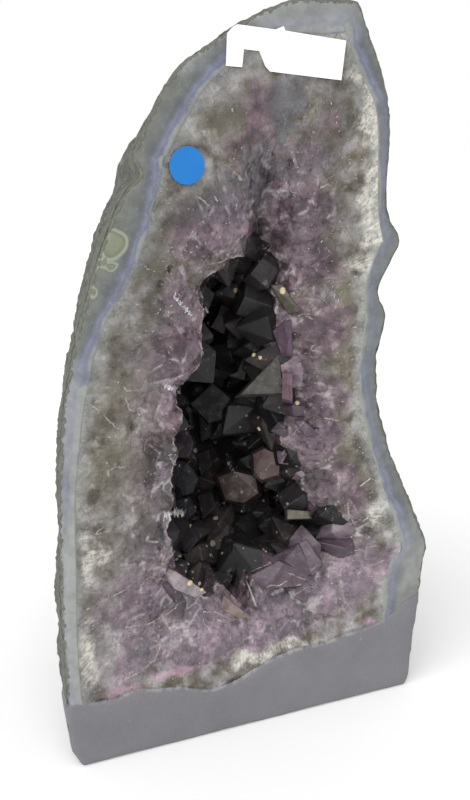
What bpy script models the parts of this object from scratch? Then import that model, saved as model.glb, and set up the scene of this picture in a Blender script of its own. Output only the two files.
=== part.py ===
"""Amethyst cathedral geode: half a stone pod, sawn open, standing in a cement foot.

The sawn face looks along -Y and the foot rests on the floor. The pod is one dome behind the
sawn face. The shell is its basalt skin and agate band. The crust is the quartz and amethyst
that lines it, with the crystals that grow into the hollow. The cement foot takes the place
of both below a wavy line. A blank card label and a round sticker lie on the sawn face.
"""

import math
import random

import bmesh
import bpy
from mathutils import Matrix, Vector, noise

MM = 0.001

# Front outline of the pod, clockwise from the floor at the left, in millimetres:
# (x, height, width of the basalt and agate band there). The points below the floor
# only carry the dome under it, where the foot is cut off flat.
FRONT_OUTLINE = [
    (-106, 0, 12), (-111, 8, 11), (-113, 22, 10), (-114, 45, 8), (-115, 82, 8), (-115, 115, 9),
    (-114, 157, 9), (-112, 185, 10), (-108, 216, 11), (-101, 247, 12), (-95, 266, 15),
    (-88, 286, 20), (-80, 305, 20), (-73, 318, 17), (-65, 326, 14), (-68, 336, 17),
    (-60, 353, 17), (-49, 371, 18), (-40, 380, 16), (-24, 390, 14), (-9, 399, 14),
    (18, 409, 17), (39, 410, 17), (56, 409, 16), (61, 400, 13), (70, 380, 13), (77, 360, 9),
    (79, 339, 8), (78, 307, 6), (81, 296, 8), (88, 284, 12), (83, 273, 12), (75, 257, 10),
    (80, 242, 13), (78, 228, 13), (75, 216, 11), (77, 192, 11), (84, 167, 11), (96, 140, 13),
    (109, 112, 15), (116, 95, 20), (114, 80, 26), (112, 58, 26), (109, 31, 20), (108, 8, 15),
    (103, 0, 15), (88, -60, 12), (50, -112, 12), (0, -130, 12), (-50, -112, 12), (-88, -60, 12),
]

# Mouth of the hollow on the sawn face, clockwise from its lowest point at the left.
MOUTH_OUTLINE = [
    (-38, 92), (-50, 104), (-56, 122), (-55, 145), (-54, 168), (-49, 192), (-38, 210),
    (-32, 232), (-31, 258), (-24, 280), (-22, 305), (-16, 332), (-2, 350), (16, 352),
    (31, 338), (38, 312), (42, 286), (45, 258), (45, 226), (44, 192), (49, 160), (56, 132),
    (55, 110), (42, 94), (22, 84), (0, 80), (-20, 84),
]

# Where the cement meets the crystal on the sawn face: (x, height).
CEMENT_LINE = [
    (-140, 42), (-108, 41), (-98, 39), (-86, 38), (-75, 41), (-62, 38), (-48, 36), (-28, 29),
    (-14, 31), (-5, 34), (6, 39), (26, 43), (48, 43), (75, 47), (86, 49), (98, 57), (114, 66),
    (140, 72),
]

POD_DEPTH = 150  # sawn face to the furthest point of the back
POD_CENTRE = (-4, 150)  # x and height of that point
STRAIGHT_BACK = 9  # how far the skin runs straight back from the saw cut before it bends in
SKIN_FULLNESS, SOCKET_FULLNESS = 2.1, 2.0  # power of the curve where the pod is narrow
NARROW = 110  # centre to edge where it is narrow; where it is wider, the curve is boxier
SKIN_LUMPS = [(6, 45), (2.5, 20)]  # height and breadth of the lumps on the pod's back
GIRTH_ROUNDS, AGATE_ROUNDS = 20, 2  # rounds that even out the sawn outline for each
EVENED_WITHIN = 0.4  # share of the way to the back in which the skin takes the evened outline
SHELL_BACK = 15  # basalt and agate at the back
HOLLOW_DEPTH = 104
HOLLOW_CENTRE = (-6, 176)
SHALLOW_FROM, SHALLOW_TO = 285, 345  # heights between which the hollow turns shallow
AROUND = 84  # steps round every dome
SKIN_RINGS, SOCKET_RINGS, FACE_RINGS, LINING_RINGS = 8, 4, 2, 5
GAP = 0.35  # between pieces that touch
RIM_DEPTH = 9  # how far the mouth's rim lies behind the saw cut
CEMENT_PROUD = 1.5  # the cement stands this far out from the stone skin

FACE_DEPTH, FACE_BUMPS = 2.2, (2, 13)  # mean depth of the broken face; its bumps' height, breadth

# Crystals. A tilt is how far the axis may lean to each side of its direction, a tip is the
# length of the pointed end in radii, and a lean is how far off the middle the point may lie.
SEED = 12
ROOT = 6  # length of a crystal that is sunk in the stone
FOOT_WIDTH = 0.92  # width of a crystal at its root, as a share of that at its shoulder
LINING_TRIES, LINING_SPACING, LINING_RADIUS = 1400, 20.5, (8, 12)  # crystals in the hollow
LINING_LENGTH, LINING_TILT, LINING_TIP, LINING_LEAN = (1.2, 1.9), 0.42, 1.1, 0.35
LINING_REACH = 0.97  # share of the way to the hollow's end up to which crystals stand
LINING_STRETCH = 60000  # mm2 of lining for a full turn round it and a full way in, where widest
FACE_TRIES, FACE_SPACING, FACE_RADIUS = 500, 23.5, (8, 13)  # broken crystals on the sawn face
FACE_STANDING, FACE_TILT, FACE_TIP, FACE_LEAN = 5, 0.4, 0.9, 0.4
FACE_TOWARDS = 0.55  # how far those lean towards the hollow, for each unit out of the face
FACE_FROM = 0.3  # share of the way from the agate to the mouth from which they stand
CLEAR_OF_CARD, CLEAR_OF_STICKER, CLEAR_OF_FOOT = (44, 22), 20, 30
SAWN_AT = 0.2  # nothing of the crystal crust stands out in front of this y
LABEL_OUTLINE = [  # the card is torn at its lower left and along its upper edge
    (-18, 393), (-15, 396), (-12.5, 397.3), (8.6, 395), (12.9, 396.6), (13.9, 394.5), (49, 389.8),
    (46.8, 370.1), (5.6, 374.8), (3, 377.3), (-0.5, 384.7), (-9, 385.6), (-10, 377), (-18.7, 377.7),
]
LABEL_MIDDLE, LABEL_REACH = (15, 384), (42, 20)
LABEL_THICKNESS = 0.6
STICKER_CENTRE, STICKER_REACH = (-40, 330), 14
STICKER_DIAMETER = 19
STICKER_THICKNESS = 0.4
LYING_AT = -0.3  # y of the back of the label and the sticker, just before the sawn face

OUTSIDE, UNDER = 140, 200  # half width of a cutter that is wider than the pod, and its depth
CUT_FROM, CUT_DEPTH = -30, 260  # a cutter's front face, and its thickness behind that


def smooth_loop(points, count):
    """The closed curve through the points, read at evenly spaced places."""
    fine = []
    steps = 12
    for i in range(len(points)):
        a, b, c, d = (Vector(points[(i + k) % len(points)]) for k in (-1, 0, 1, 2))
        for step in range(steps):
            t = step / steps
            fine.append(
                0.5 * (2 * b + (c - a) * t + (2 * a - 5 * b + 4 * c - d) * t**2
                       + (3 * b - a - 3 * c + d) * t**3)
            )
    lengths = [0.0]
    for i, point in enumerate(fine):
        following = fine[(i + 1) % len(fine)]
        lengths.append(lengths[-1] + (following.xy - point.xy).length)
    loop, i = [], 0
    for k in range(count):
        target = lengths[-1] * k / count
        while lengths[i + 1] < target:
            i += 1
        share = (target - lengths[i]) / (lengths[i + 1] - lengths[i])
        loop.append(fine[i].lerp(fine[(i + 1) % len(fine)], share))
    return loop


def grown(loop, distances):
    """The loop moved outwards, across itself, by one distance for each point."""
    moved = []
    for i, point in enumerate(loop):
        along = loop[(i + 1) % len(loop)].xy - loop[i - 1].xy
        outwards = Vector((-along.y, along.x)).normalized()
        moved.append(point.xy + outwards * distances[i])
    return moved


def relaxed(loop, rounds):
    """The loop with its points drawn towards their neighbours, so that no offset folds over."""
    for _ in range(rounds):
        loop = [
            (loop[i - 1] + 2 * loop[i] + loop[(i + 1) % len(loop)]) / 4 for i in range(len(loop))
        ]
    return loop


def matched(loop, guide):
    """The loop turned so that its first point is the one nearest to the guide's first point."""
    centre = Vector(HOLLOW_CENTRE)
    aim = guide[0].xy - centre
    start = min(range(len(loop)), key=lambda i: aim.angle(loop[i] - centre))
    return loop[start:] + loop[:start]


OUTLINE = smooth_loop(FRONT_OUTLINE, AROUND)
GIRTH = relaxed([point.xy for point in OUTLINE], GIRTH_ROUNDS)  # behind the sawn face
AGATE_EDGE = relaxed(grown(OUTLINE, [-point.z for point in OUTLINE]), AGATE_ROUNDS)
MOUTH = smooth_loop([(x, z, 0) for x, z in MOUTH_OUTLINE], AROUND)
MOUTH = matched([point.xy for point in MOUTH], OUTLINE)


def dome_point(edge, depth, turn, fullness):
    """A point of a dome: turn 0 is its edge on the sawn face, and 1 the end of its back."""
    centre = Vector(POD_CENTRE)
    across = math.cos(turn * math.pi / 2)
    power = fullness * (edge - centre).length / NARROW
    place = centre.lerp(edge, across)
    return Vector((place.x, depth * (1 - across**power), place.y))


def skin_point(i, turn, proud):
    """A point of the pod's skin, evened out and lumpy away from the sawn edge."""
    edge = OUTLINE[i].xy.lerp(GIRTH[i], min(1.0, turn / EVENED_WITHIN))
    point = dome_point(edge, POD_DEPTH - STRAIGHT_BACK, turn, SKIN_FULLNESS)
    point.y += STRAIGHT_BACK * min(1.0, turn * SKIN_RINGS)
    lump = sum(height * noise.noise(point / breadth) for height, breadth in SKIN_LUMPS)
    faded = lump * min(1.0, turn * 4, (1 - turn) * 3)
    out = Vector((edge.x - POD_CENTRE[0], 0, edge.y - POD_CENTRE[1])).normalized()
    return point + (out + Vector((0, min(0.7, turn * 4), 0))) * (faded + proud)


def lining_point(around, turn):
    """A point of the wall that the crystals grow from: steep, but shallow at the top."""
    place = around % 1 * AROUND
    first = int(place) % AROUND
    edge = MOUTH[first].lerp(MOUTH[(first + 1) % AROUND], place - int(place))
    across = math.cos(turn * math.pi / 2)
    share = min(1.0, max(0.0, (edge.y - SHALLOW_FROM) / (SHALLOW_TO - SHALLOW_FROM)))
    shallow = (1 - across) ** 1.1
    steep = math.sin(turn * math.pi / 2)
    point = Vector(HOLLOW_CENTRE).lerp(edge, across)
    rim = face_relief(edge.x, edge.y, 1)
    depth = steep + (shallow - steep) * share
    return Vector((point.x, rim + (HOLLOW_DEPTH - rim) * depth, point.y))


def face_relief(x, z, share):
    """How far the broken face lies behind the saw cut, from the agate (share 0) to the rim (1).

    It is flush under the label and the sticker."""
    from_label = max(
        abs(x - LABEL_MIDDLE[0]) / LABEL_REACH[0], abs(z - LABEL_MIDDLE[1]) / LABEL_REACH[1]
    )
    from_sticker = math.hypot(x - STICKER_CENTRE[0], z - STICKER_CENTRE[1]) / STICKER_REACH
    away = min(1.0, max(0.0, min(from_label, from_sticker) - 1) * 2)
    height, breadth = FACE_BUMPS
    bumps = FACE_DEPTH + height * noise.noise(Vector((x, 0, z)) / breadth)
    return away * (bumps + RIM_DEPTH * share**2)


def face_point(i, share):
    """A point of the broken crystal face, on the way from the agate to the hollow's mouth."""
    place = AGATE_EDGE[i].lerp(MOUTH[i], share)
    return Vector((place.x, face_relief(place.x, place.y, share), place.y))


def mesh_object(name, bm):
    """A closed mesh made into an object of the build, with its faces pointing out."""
    bmesh.ops.remove_doubles(bm, verts=bm.verts, dist=1e-4)
    bmesh.ops.recalc_face_normals(bm, faces=bm.faces)
    bmesh.ops.scale(bm, vec=(MM, MM, MM), verts=bm.verts)
    mesh = bpy.data.meshes.new(name)
    bm.to_mesh(mesh)
    bm.free()
    made = bpy.data.objects.new(name, mesh)
    parts.objects.link(made)
    return made


def lathe_shape(name, rows):
    """A closed skin of rings: a sphere whose rings take the rows' points, pole to pole.

    rows is a list of functions from a step round the outline to a point, and its first and
    last give one point each."""
    bm = bmesh.new()
    bmesh.ops.create_uvsphere(bm, u_segments=AROUND, v_segments=len(rows) - 1, radius=1)
    for vert in bm.verts:
        row = round(math.acos(max(-1.0, min(1.0, vert.co.z))) / math.pi * (len(rows) - 1))
        step = round(math.atan2(vert.co.y, vert.co.x) / math.tau * AROUND) % AROUND
        vert.co = rows[row](step)
    return mesh_object(name, bm)


def skin_rows(proud):
    """Rows from the end of the pod's back to the sawn edge."""
    turns = [1 - ring / SKIN_RINGS for ring in range(SKIN_RINGS + 1)]
    return [lambda i, turn=turn: skin_point(i, turn, proud) for turn in turns]


def socket_rows(gap):
    """Rows of the wall between the agate and the crystal crust, sawn face first."""
    depth = POD_DEPTH - SHELL_BACK - gap
    edge = grown(AGATE_EDGE, [-gap] * AROUND)
    turns = [ring / SOCKET_RINGS for ring in range(SOCKET_RINGS + 1)]
    return [
        lambda i, turn=turn: dome_point(edge[i], depth, turn, SOCKET_FULLNESS)
        for turn in turns
    ]


def finish_material(made, colour, roughness):
    material = bpy.data.materials.new(made.name)
    material.use_nodes = True
    shader = material.node_tree.nodes["Principled BSDF"]
    shader.inputs["Base Color"].default_value = (*colour, 1)
    shader.inputs["Roughness"].default_value = roughness
    shader.inputs["Metallic"].default_value = 0.0
    made.data.materials.clear()
    made.data.materials.append(material)


def boolean(made, operation, other, solver="EXACT"):
    modifier = made.modifiers.new(f"{operation.lower()}_{other.name}", "BOOLEAN")
    modifier.operation = operation
    modifier.solver = solver
    modifier.object = other


def one_body(made):
    """Takes the modifiers into the mesh and drops crumbs and sealed pockets between crystals."""
    bpy.context.view_layer.update()
    graph = bpy.context.evaluated_depsgraph_get()
    mesh = bpy.data.meshes.new_from_object(made.evaluated_get(graph))
    bm = bmesh.new()
    bm.from_mesh(mesh)
    unseen = set(bm.verts)
    bodies = []
    while unseen:
        reached = [unseen.pop()]
        for vert in reached:
            for edge in vert.link_edges:
                other = edge.other_vert(vert)
                if other in unseen:
                    unseen.remove(other)
                    reached.append(other)
        bodies.append(reached)
    bodies.sort(key=len)
    spare = [vert for body in bodies[:-1] for vert in body]
    bmesh.ops.delete(bm, geom=spare, context="VERTS")
    bm.to_mesh(mesh)
    bm.free()
    made.modifiers.clear()
    made.data = mesh


def as_cutter(made):
    parts.objects.unlink(made)
    cutters.objects.link(made)
    made.hide_render = True
    made.display_type = "WIRE"
    return made


def flat_solid(name, corners, y, thickness):
    """A flat outline in the plane of the sawn face, thickness deep, from y backwards."""
    curve = bpy.data.curves.new(name, "CURVE")
    curve.dimensions = "2D"
    curve.fill_mode = "BOTH"
    curve.extrude = thickness / 2 * MM
    spline = curve.splines.new("POLY")
    spline.points.add(len(corners) - 1)
    for point, (x, z) in zip(spline.points, corners):
        point.co = (x * MM, z * MM, 0, 1)
    spline.use_cyclic_u = True
    drawn = bpy.data.objects.new(name + "_curve", curve)
    parts.objects.link(drawn)
    bpy.context.view_layer.update()
    graph = bpy.context.evaluated_depsgraph_get()
    mesh = bpy.data.meshes.new_from_object(drawn.evaluated_get(graph))
    bpy.data.objects.remove(drawn)
    bm = bmesh.new()
    bm.from_mesh(mesh)
    upright = Matrix.Translation((0, (y + thickness / 2) * MM, 0)) @ Matrix.Rotation(
        math.pi / 2, 4, "X"
    )
    bmesh.ops.transform(bm, matrix=upright, verts=bm.verts)
    bmesh.ops.scale(bm, vec=(1 / MM, 1 / MM, 1 / MM), verts=bm.verts)
    return mesh_object(name, bm)


def under_cement_line(name, lift):
    """A prism of everything under the cement line, moved up by lift."""
    corners = [(x, z + lift) for x, z in CEMENT_LINE] + [(OUTSIDE, -UNDER), (-OUTSIDE, -UNDER)]
    return as_cutter(flat_solid(name, corners, CUT_FROM, CUT_DEPTH))


def add_crystal(bm, root, axis, radius, length, tip, spin, lean):
    """One quartz crystal: a six-sided prism with a pyramid whose point is off its middle."""
    prism = length - tip
    made = bmesh.ops.create_cone(
        bm, cap_ends=True, segments=6, radius1=radius * FOOT_WIDTH, radius2=radius, depth=prism
    )
    verts = made["verts"]
    bmesh.ops.translate(bm, vec=(0, 0, prism / 2), verts=verts)
    faces = {face for vert in verts for face in vert.link_faces}
    top = max(faces, key=lambda face: face.calc_center_median().z)
    point = bmesh.ops.poke(bm, faces=[top])["verts"][0]
    point.co += Vector((lean.x * radius, lean.y * radius, tip))
    turn = axis.to_track_quat("Z", "Y").to_matrix().to_4x4() @ Matrix.Rotation(spin, 4, "Z")
    bmesh.ops.transform(bm, matrix=Matrix.Translation(root) @ turn, verts=[*verts, point])


def spread(candidates, spacing):
    """The candidates that keep the spacing from those already taken."""
    taken = []
    for candidate in candidates:
        if all((candidate[0] - other[0]).length > spacing for other in taken):
            taken.append(candidate)
    return taken


def lining_places(rng, count):
    """Random places on the lining, even by area: (point, direction into the hollow)."""
    places = []
    step = 0.004
    while len(places) < count:
        around, turn = rng.random(), rng.uniform(0, LINING_REACH)
        point = lining_point(around, turn)
        along = lining_point(around + step, turn) - point
        inwards = lining_point(around, turn + step) - point
        normal = along.cross(inwards)
        if normal.length / step**2 < rng.random() * LINING_STRETCH:
            continue
        normal.normalize()
        into = Vector((HOLLOW_CENTRE[0], HOLLOW_DEPTH / 4, HOLLOW_CENTRE[1])) - point
        places.append((point, normal if normal.dot(into) > 0 else -normal))
    return places


def face_places(rng, count):
    """Random places on the broken face between the agate and the mouth."""
    places = []
    while len(places) < count:
        i = rng.randrange(AROUND)
        edge = AGATE_EDGE[i].lerp(MOUTH[i], rng.uniform(FACE_FROM, 1.0))
        off = edge - Vector(LABEL_MIDDLE)
        clear_of_label = abs(off.x) > CLEAR_OF_CARD[0] or abs(off.y) > CLEAR_OF_CARD[1]
        clear_of_sticker = (edge - Vector(STICKER_CENTRE)).length > CLEAR_OF_STICKER
        if edge.y > CLEAR_OF_FOOT and clear_of_label and clear_of_sticker:
            share = (edge - AGATE_EDGE[i]).length / (MOUTH[i] - AGATE_EDGE[i]).length
            relief = face_relief(edge.x, edge.y, share)
            places.append((Vector((edge.x, relief, edge.y)), MOUTH[i] - edge))
    return places


def tilted(direction, amount, rng):
    """The direction leant over at random by up to that amount."""
    side = Vector((rng.uniform(-1, 1), rng.uniform(-1, 1), rng.uniform(-1, 1)))
    return (direction + side * amount).normalized()


def off_middle(most, rng):
    return Vector((rng.uniform(-most, most), rng.uniform(-most, most)))


def planned_crystals():
    """Every crystal of the crust: (root, axis, radius, length, tip, spin, lean)."""
    rng = random.Random(SEED)
    plans = []
    for point, normal in spread(lining_places(rng, LINING_TRIES), LINING_SPACING):
        radius = rng.uniform(*LINING_RADIUS)
        axis = tilted(normal, LINING_TILT, rng)
        length = radius * rng.uniform(*LINING_LENGTH) + ROOT
        lean = off_middle(LINING_LEAN, rng)
        spin = rng.uniform(0, math.tau)
        plans.append((point - axis * ROOT, axis, radius, length, radius * LINING_TIP, spin, lean))
    for point, inwards in spread(face_places(rng, FACE_TRIES), FACE_SPACING):
        radius = rng.uniform(*FACE_RADIUS)
        leaning = Vector((inwards.x, 0, inwards.y)).normalized() * FACE_TOWARDS
        axis = tilted((leaning + Vector((0, -1, 0))).normalized(), FACE_TILT, rng)
        tip = radius * FACE_TIP
        length = tip + ROOT
        root = point - axis * (length - FACE_STANDING)
        lean = off_middle(FACE_LEAN, rng)
        plans.append((root, axis, radius, length, tip, rng.uniform(0, math.tau), lean))
    return plans


def crystal_groups():
    """Meshes of crystals. Those in one mesh stay clear of each other, for a clean union."""
    groups = []
    for plan in planned_crystals():
        root, axis, radius, length = plan[:4]
        middle, reach = root + axis * length / 2, math.hypot(length / 2, radius)
        group = next(
            (g for g in groups if all((middle - m).length > reach + r for m, r, _ in g)), None
        )
        if group is None:
            group = []
            groups.append(group)
        group.append((middle, reach, plan))
    for number, group in enumerate(groups):
        bm = bmesh.new()
        for _, _, plan in group:
            add_crystal(bm, *plan)
        yield as_cutter(mesh_object(f"crystals_{number}", bm))


def geode_shell():
    """Basalt skin and agate band: a bowl whose socket holds the crystal crust."""
    shell = lathe_shape("geode_shell", skin_rows(0) + socket_rows(0))
    boolean(shell, "DIFFERENCE", under_cement_line("cement_under_shell", GAP))
    finish_material(shell, (0.19, 0.20, 0.22), 0.6)
    return shell


def amethyst_crust():
    """Quartz and amethyst from the agate to the hollow, with the crystals grown on it."""
    face = [
        lambda i, share=ring / FACE_RINGS: face_point(i, share)
        for ring in range(1, FACE_RINGS + 1)
    ]
    lining = [
        lambda i, turn=ring / LINING_RINGS: lining_point(i / AROUND, turn)
        for ring in range(1, LINING_RINGS + 1)
    ]
    crust = lathe_shape("amethyst_crust", socket_rows(GAP)[::-1] + face + lining)
    edge = grown(AGATE_EDGE, [-2 * GAP] * AROUND)
    sawn_face = [
        lambda i: Vector((POD_CENTRE[0], SAWN_AT, POD_CENTRE[1])),
        lambda i: Vector((edge[i].x, SAWN_AT, edge[i].y)),
    ]
    limit = as_cutter(lathe_shape("crust_limit", sawn_face + socket_rows(2 * GAP)[1:]))
    for group in crystal_groups():
        boolean(crust, "UNION", group, "MANIFOLD")
    boolean(crust, "INTERSECT", limit, "MANIFOLD")
    boolean(crust, "DIFFERENCE", under_cement_line("cement_under_crust", GAP), "MANIFOLD")
    one_body(crust)
    finish_material(crust, (0.20, 0.13, 0.20), 0.25)
    return crust


def cement_base():
    """The foot: the pod's form below the cement line, a little proud of the stone skin."""
    front_middle = Vector((POD_CENTRE[0], 0, POD_CENTRE[1]))
    base = lathe_shape("cement_base", [*skin_rows(CEMENT_PROUD), lambda i: front_middle])
    boolean(base, "INTERSECT", under_cement_line("cement_foot", 0))
    under_floor = [(-OUTSIDE, 0), (OUTSIDE, 0), (OUTSIDE, -UNDER), (-OUTSIDE, -UNDER)]
    floor = as_cutter(flat_solid("floor", under_floor, CUT_FROM, CUT_DEPTH))
    boolean(base, "DIFFERENCE", floor)
    finish_material(base, (0.20, 0.20, 0.22), 0.7)
    return base


def blank_label():
    label = flat_solid("blank_label", LABEL_OUTLINE, LYING_AT - LABEL_THICKNESS, LABEL_THICKNESS)
    finish_material(label, (0.92, 0.92, 0.92), 0.6)
    return label


def round_sticker():
    sides = 40
    radius = STICKER_DIAMETER / 2
    rim = [
        (
            STICKER_CENTRE[0] + radius * math.cos(math.tau * i / sides),
            STICKER_CENTRE[1] + radius * math.sin(math.tau * i / sides),
        )
        for i in range(sides)
    ]
    sticker = flat_solid("round_sticker", rim, LYING_AT - STICKER_THICKNESS, STICKER_THICKNESS)
    finish_material(sticker, (0.03, 0.23, 0.66), 0.5)
    return sticker


def place_on_origin(pieces):
    """Hangs every object on an empty that puts the middle of the whole footprint at the origin."""
    bpy.context.view_layer.update()
    graph = bpy.context.evaluated_depsgraph_get()
    corners = [
        piece.matrix_world @ Vector(corner)
        for piece in pieces
        for corner in piece.evaluated_get(graph).bound_box
    ]
    middle = [(min(c[k] for c in corners) + max(c[k] for c in corners)) / 2 for k in (0, 1)]
    hanger = bpy.data.objects.new("geode", None)
    parts.objects.link(hanger)
    hanger.location = (-middle[0], -middle[1], 0)
    for made in [*pieces, *cutters.objects]:
        made.parent = hanger
    print(f"sawn face at y = {-middle[1]:.5f}, middle of the drawing at x = {-middle[0]:.5f}")


for old in list(bpy.data.objects):
    bpy.data.objects.remove(old)
parts = bpy.data.collections.new("amethyst_cathedral_geode")
cutters = bpy.data.collections.new("cutters")
for collection in (parts, cutters):
    bpy.context.scene.collection.children.link(collection)
place_on_origin([geode_shell(), amethyst_crust(), cement_base(), blank_label(), round_sticker()])
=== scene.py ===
"""Looks of the amethyst cathedral geode: sawn stone shell, crystal crust, cement foot, card, dot."""

import bisect
import math
import random

import bmesh
import bpy
from mathutils import Matrix, Vector, kdtree, noise
from mathutils.bvhtree import BVHTree
from mathutils.geometry import intersect_line_line_2d


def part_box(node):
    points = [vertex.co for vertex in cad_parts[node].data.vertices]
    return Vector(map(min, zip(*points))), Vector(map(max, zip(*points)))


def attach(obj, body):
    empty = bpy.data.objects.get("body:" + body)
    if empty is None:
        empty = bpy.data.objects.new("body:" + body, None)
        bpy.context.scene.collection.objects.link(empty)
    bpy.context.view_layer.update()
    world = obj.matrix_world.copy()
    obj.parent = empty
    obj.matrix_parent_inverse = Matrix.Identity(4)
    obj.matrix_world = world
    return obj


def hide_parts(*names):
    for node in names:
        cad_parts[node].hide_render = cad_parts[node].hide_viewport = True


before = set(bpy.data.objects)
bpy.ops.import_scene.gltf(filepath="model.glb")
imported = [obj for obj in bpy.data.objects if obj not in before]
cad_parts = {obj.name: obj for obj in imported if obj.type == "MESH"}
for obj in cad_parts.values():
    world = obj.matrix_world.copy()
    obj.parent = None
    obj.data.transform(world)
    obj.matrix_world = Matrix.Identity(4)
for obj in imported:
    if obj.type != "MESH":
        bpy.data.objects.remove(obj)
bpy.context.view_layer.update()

# The camera stands in front of the sawn face, to its left and above it, as the photographer
# did. Places below are in millimetres from the drawing's own origin: x from the middle of the
# foot, y from the saw cut and z from the floor. ORIGIN takes them to the frame.
MM = 0.001
STICKER_CENTRE = (-40, 330)
dot_low, dot_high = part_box("round_sticker")
ORIGIN = Vector(
    ((dot_low[0] + dot_high[0]) / 2 - STICKER_CENTRE[0] * MM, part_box("geode_shell")[0][1], 0)
)
CAMERA_PLACE = Vector((-259.5, -542.2, 385.9))
CAMERA_AIM = Vector((-13.5, 0, 203.9))
CAMERA_TURN = (CAMERA_AIM - CAMERA_PLACE).to_track_quat("-Z", "Y")
LENS, SENSOR = 51.75, 36


def added_object(name, data):
    """An object that holds that data, added to the scene."""
    made = bpy.data.objects.new(name, data)
    bpy.context.scene.collection.objects.link(made)
    return made


camera = added_object("camera", bpy.data.cameras.new("camera"))
camera.data.lens = LENS
camera.data.sensor_width = SENSOR
camera.location = ORIGIN + CAMERA_PLACE * MM
camera.rotation_euler = CAMERA_TURN.to_euler()
bpy.context.scene.camera = camera

# The shell is one bowl of stone: a rough basalt skin with bluish agate inside it. The saw has
# cut it flat in front, so the face shows the skin, a dark rim and the agate as bands.
FRONT_OUTLINE = [  # x, height, width of the bands there; clockwise from the floor at the left
    (-106, 0, 12), (-111, 8, 11), (-113, 22, 10), (-114, 45, 8), (-115, 82, 8), (-115, 115, 9),
    (-114, 157, 9), (-112, 185, 10), (-108, 216, 11), (-101, 247, 12), (-95, 266, 15),
    (-88, 286, 20), (-80, 305, 20), (-73, 318, 17), (-65, 326, 14), (-68, 336, 17),
    (-60, 353, 17), (-49, 371, 18), (-40, 380, 16), (-24, 390, 14), (-9, 399, 14),
    (18, 409, 17), (39, 410, 17), (56, 409, 16), (61, 400, 13), (70, 380, 13), (77, 360, 9),
    (79, 339, 8), (78, 307, 6), (81, 296, 8), (88, 284, 12), (83, 273, 12), (75, 257, 10),
    (80, 242, 13), (78, 228, 13), (75, 216, 11), (77, 192, 11), (84, 167, 11), (96, 140, 13),
    (109, 112, 15), (116, 95, 20), (114, 80, 26), (112, 58, 26), (109, 31, 20), (108, 8, 15),
    (103, 0, 15), (88, -60, 12), (50, -112, 12), (0, -130, 12), (-50, -112, 12), (-88, -60, 12),
]
CEMENT_LINE = [  # where the foot meets the crystal on the sawn face: x, height
    (-140, 42), (-108, 41), (-98, 39), (-86, 38), (-75, 41), (-62, 38), (-48, 36), (-28, 29),
    (-14, 31), (-5, 34), (6, 39), (26, 43), (48, 43), (75, 47), (86, 49), (98, 57), (114, 66),
    (140, 72),
]
POD_DEPTH, POD_CENTRE = 150, Vector((-4, 150))
STRAIGHT_BACK = 9  # so far behind the saw cut the skin runs straight back
SKIN_FULLNESS, SOCKET_FULLNESS = 2.1, 2.0  # how round the domes are at the width NARROW
NARROW = 110
SKIN_RINGS, EVENED_WITHIN = 8, 0.4
COARSE_STEPS, GIRTH_ROUNDS = 84, 20  # as on the solid, whose skin is evened out behind the face
SKIN_LUMPS = [(6, 45), (2.5, 20)]  # height and breadth, as on the solid
SKIN_GRAIN = [(1.3, 9), (1.1, 4.5), (1.0, 2.4)]
SHELL_BACK = 15  # thickness of the stone at the back
AROUND = 1200
SKIN_ROWS, BAND_ROWS, SOCKET_ROWS = 60, 14, 3
GIRTH_EVENING, AGATE_EVENING = 30, 60  # rounds in which those two loops are evened
FLOOR_CUT = 4  # the shell ends here, inside the cement
HIDDEN_STRETCH = 0.2  # the outline under the floor gets this share of the steps
IN_CEMENT = 2  # how much thinner the stone is inside the cement
SUNK = 1.5  # how far the stone's face drops back where the cement covers it
RIND_ROUND, RIND_ROUNDED = 1.4, 0.9  # how far its outer edge is rounded back, over what width
RIND_CHIPS = (1.2, 5, 2.5)  # its chips: depth, breadth, distance over which they die away
FACE_WAVES = (0.1, 7)  # what the saw left uneven: height, breadth
STAIN_FADE = 0.8  # how fast a stain or a patch of painted shade fades away from its middle

# Where the sawn agate is paler, or darker and greyer: x, height, half sizes, strength.
BAND_STAINS = {
    "pale": [
        (25, 404, 55, 14, 0.8), (112, 85, 30, 42, 0.6), (-113, 95, 14, 72, 1),
        (-108, 206, 12, 34, 0.9), (-42, 385, 16, 12, 0.8),
    ],
    "slate": [(82, 235, 16, 80, 1), (76, 345, 8, 30, 0.8)],
    "nodule": [
        (-81, 294, 8, 9, 1), (-87.5, 284, 2.6, 2.6, 0.8), (-83, 284.5, 2.6, 2.8, 0.8),
        (-79.5, 282.5, 2.6, 2.6, 0.8), (-92.5, 270, 2.2, 3.5, 0.7),
    ],
}
PALE_ZONE = 4.5  # width of the grey-green zone beside the quartz where the agate is pale
BAND_WIDTH = 20.0  # over which the colours of the agate are laid out, from the quartz outwards
STAIN_WARP, STAIN_WAVES = 5, 11  # how far the outline of a stain or of painted shade wanders, over what breadth


def measured(points):
    """A closed run of points, with the length up to each."""
    run = [*points, points[0]]
    lengths = [0.0]
    for before, after in zip(run, run[1:]):
        lengths.append(lengths[-1] + (after.xy - before.xy).length)
    return run, lengths


def smooth_curve(points):
    """A closed curve through the points, as close steps with the length up to each."""
    fine = []
    for i in range(len(points)):
        a, b, c, d = (Vector(points[(i + k) % len(points)]) for k in (-1, 0, 1, 2))
        for t in (step / 12 for step in range(12)):
            bend = (2 * a - 5 * b + 4 * c - d) * t**2 + (3 * b - a - 3 * c + d) * t**3
            fine.append(0.5 * (2 * b + (c - a) * t + bend))
    return measured(fine)


def read_curve(curve, share):
    """The point that lies that share of the way along the curve."""
    fine, lengths = curve
    target = share % 1 * lengths[-1]
    i = min(bisect.bisect_right(lengths, target), len(fine) - 1)
    step = (target - lengths[i - 1]) / (lengths[i] - lengths[i - 1])
    return fine[i - 1].lerp(fine[i], step)


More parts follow.
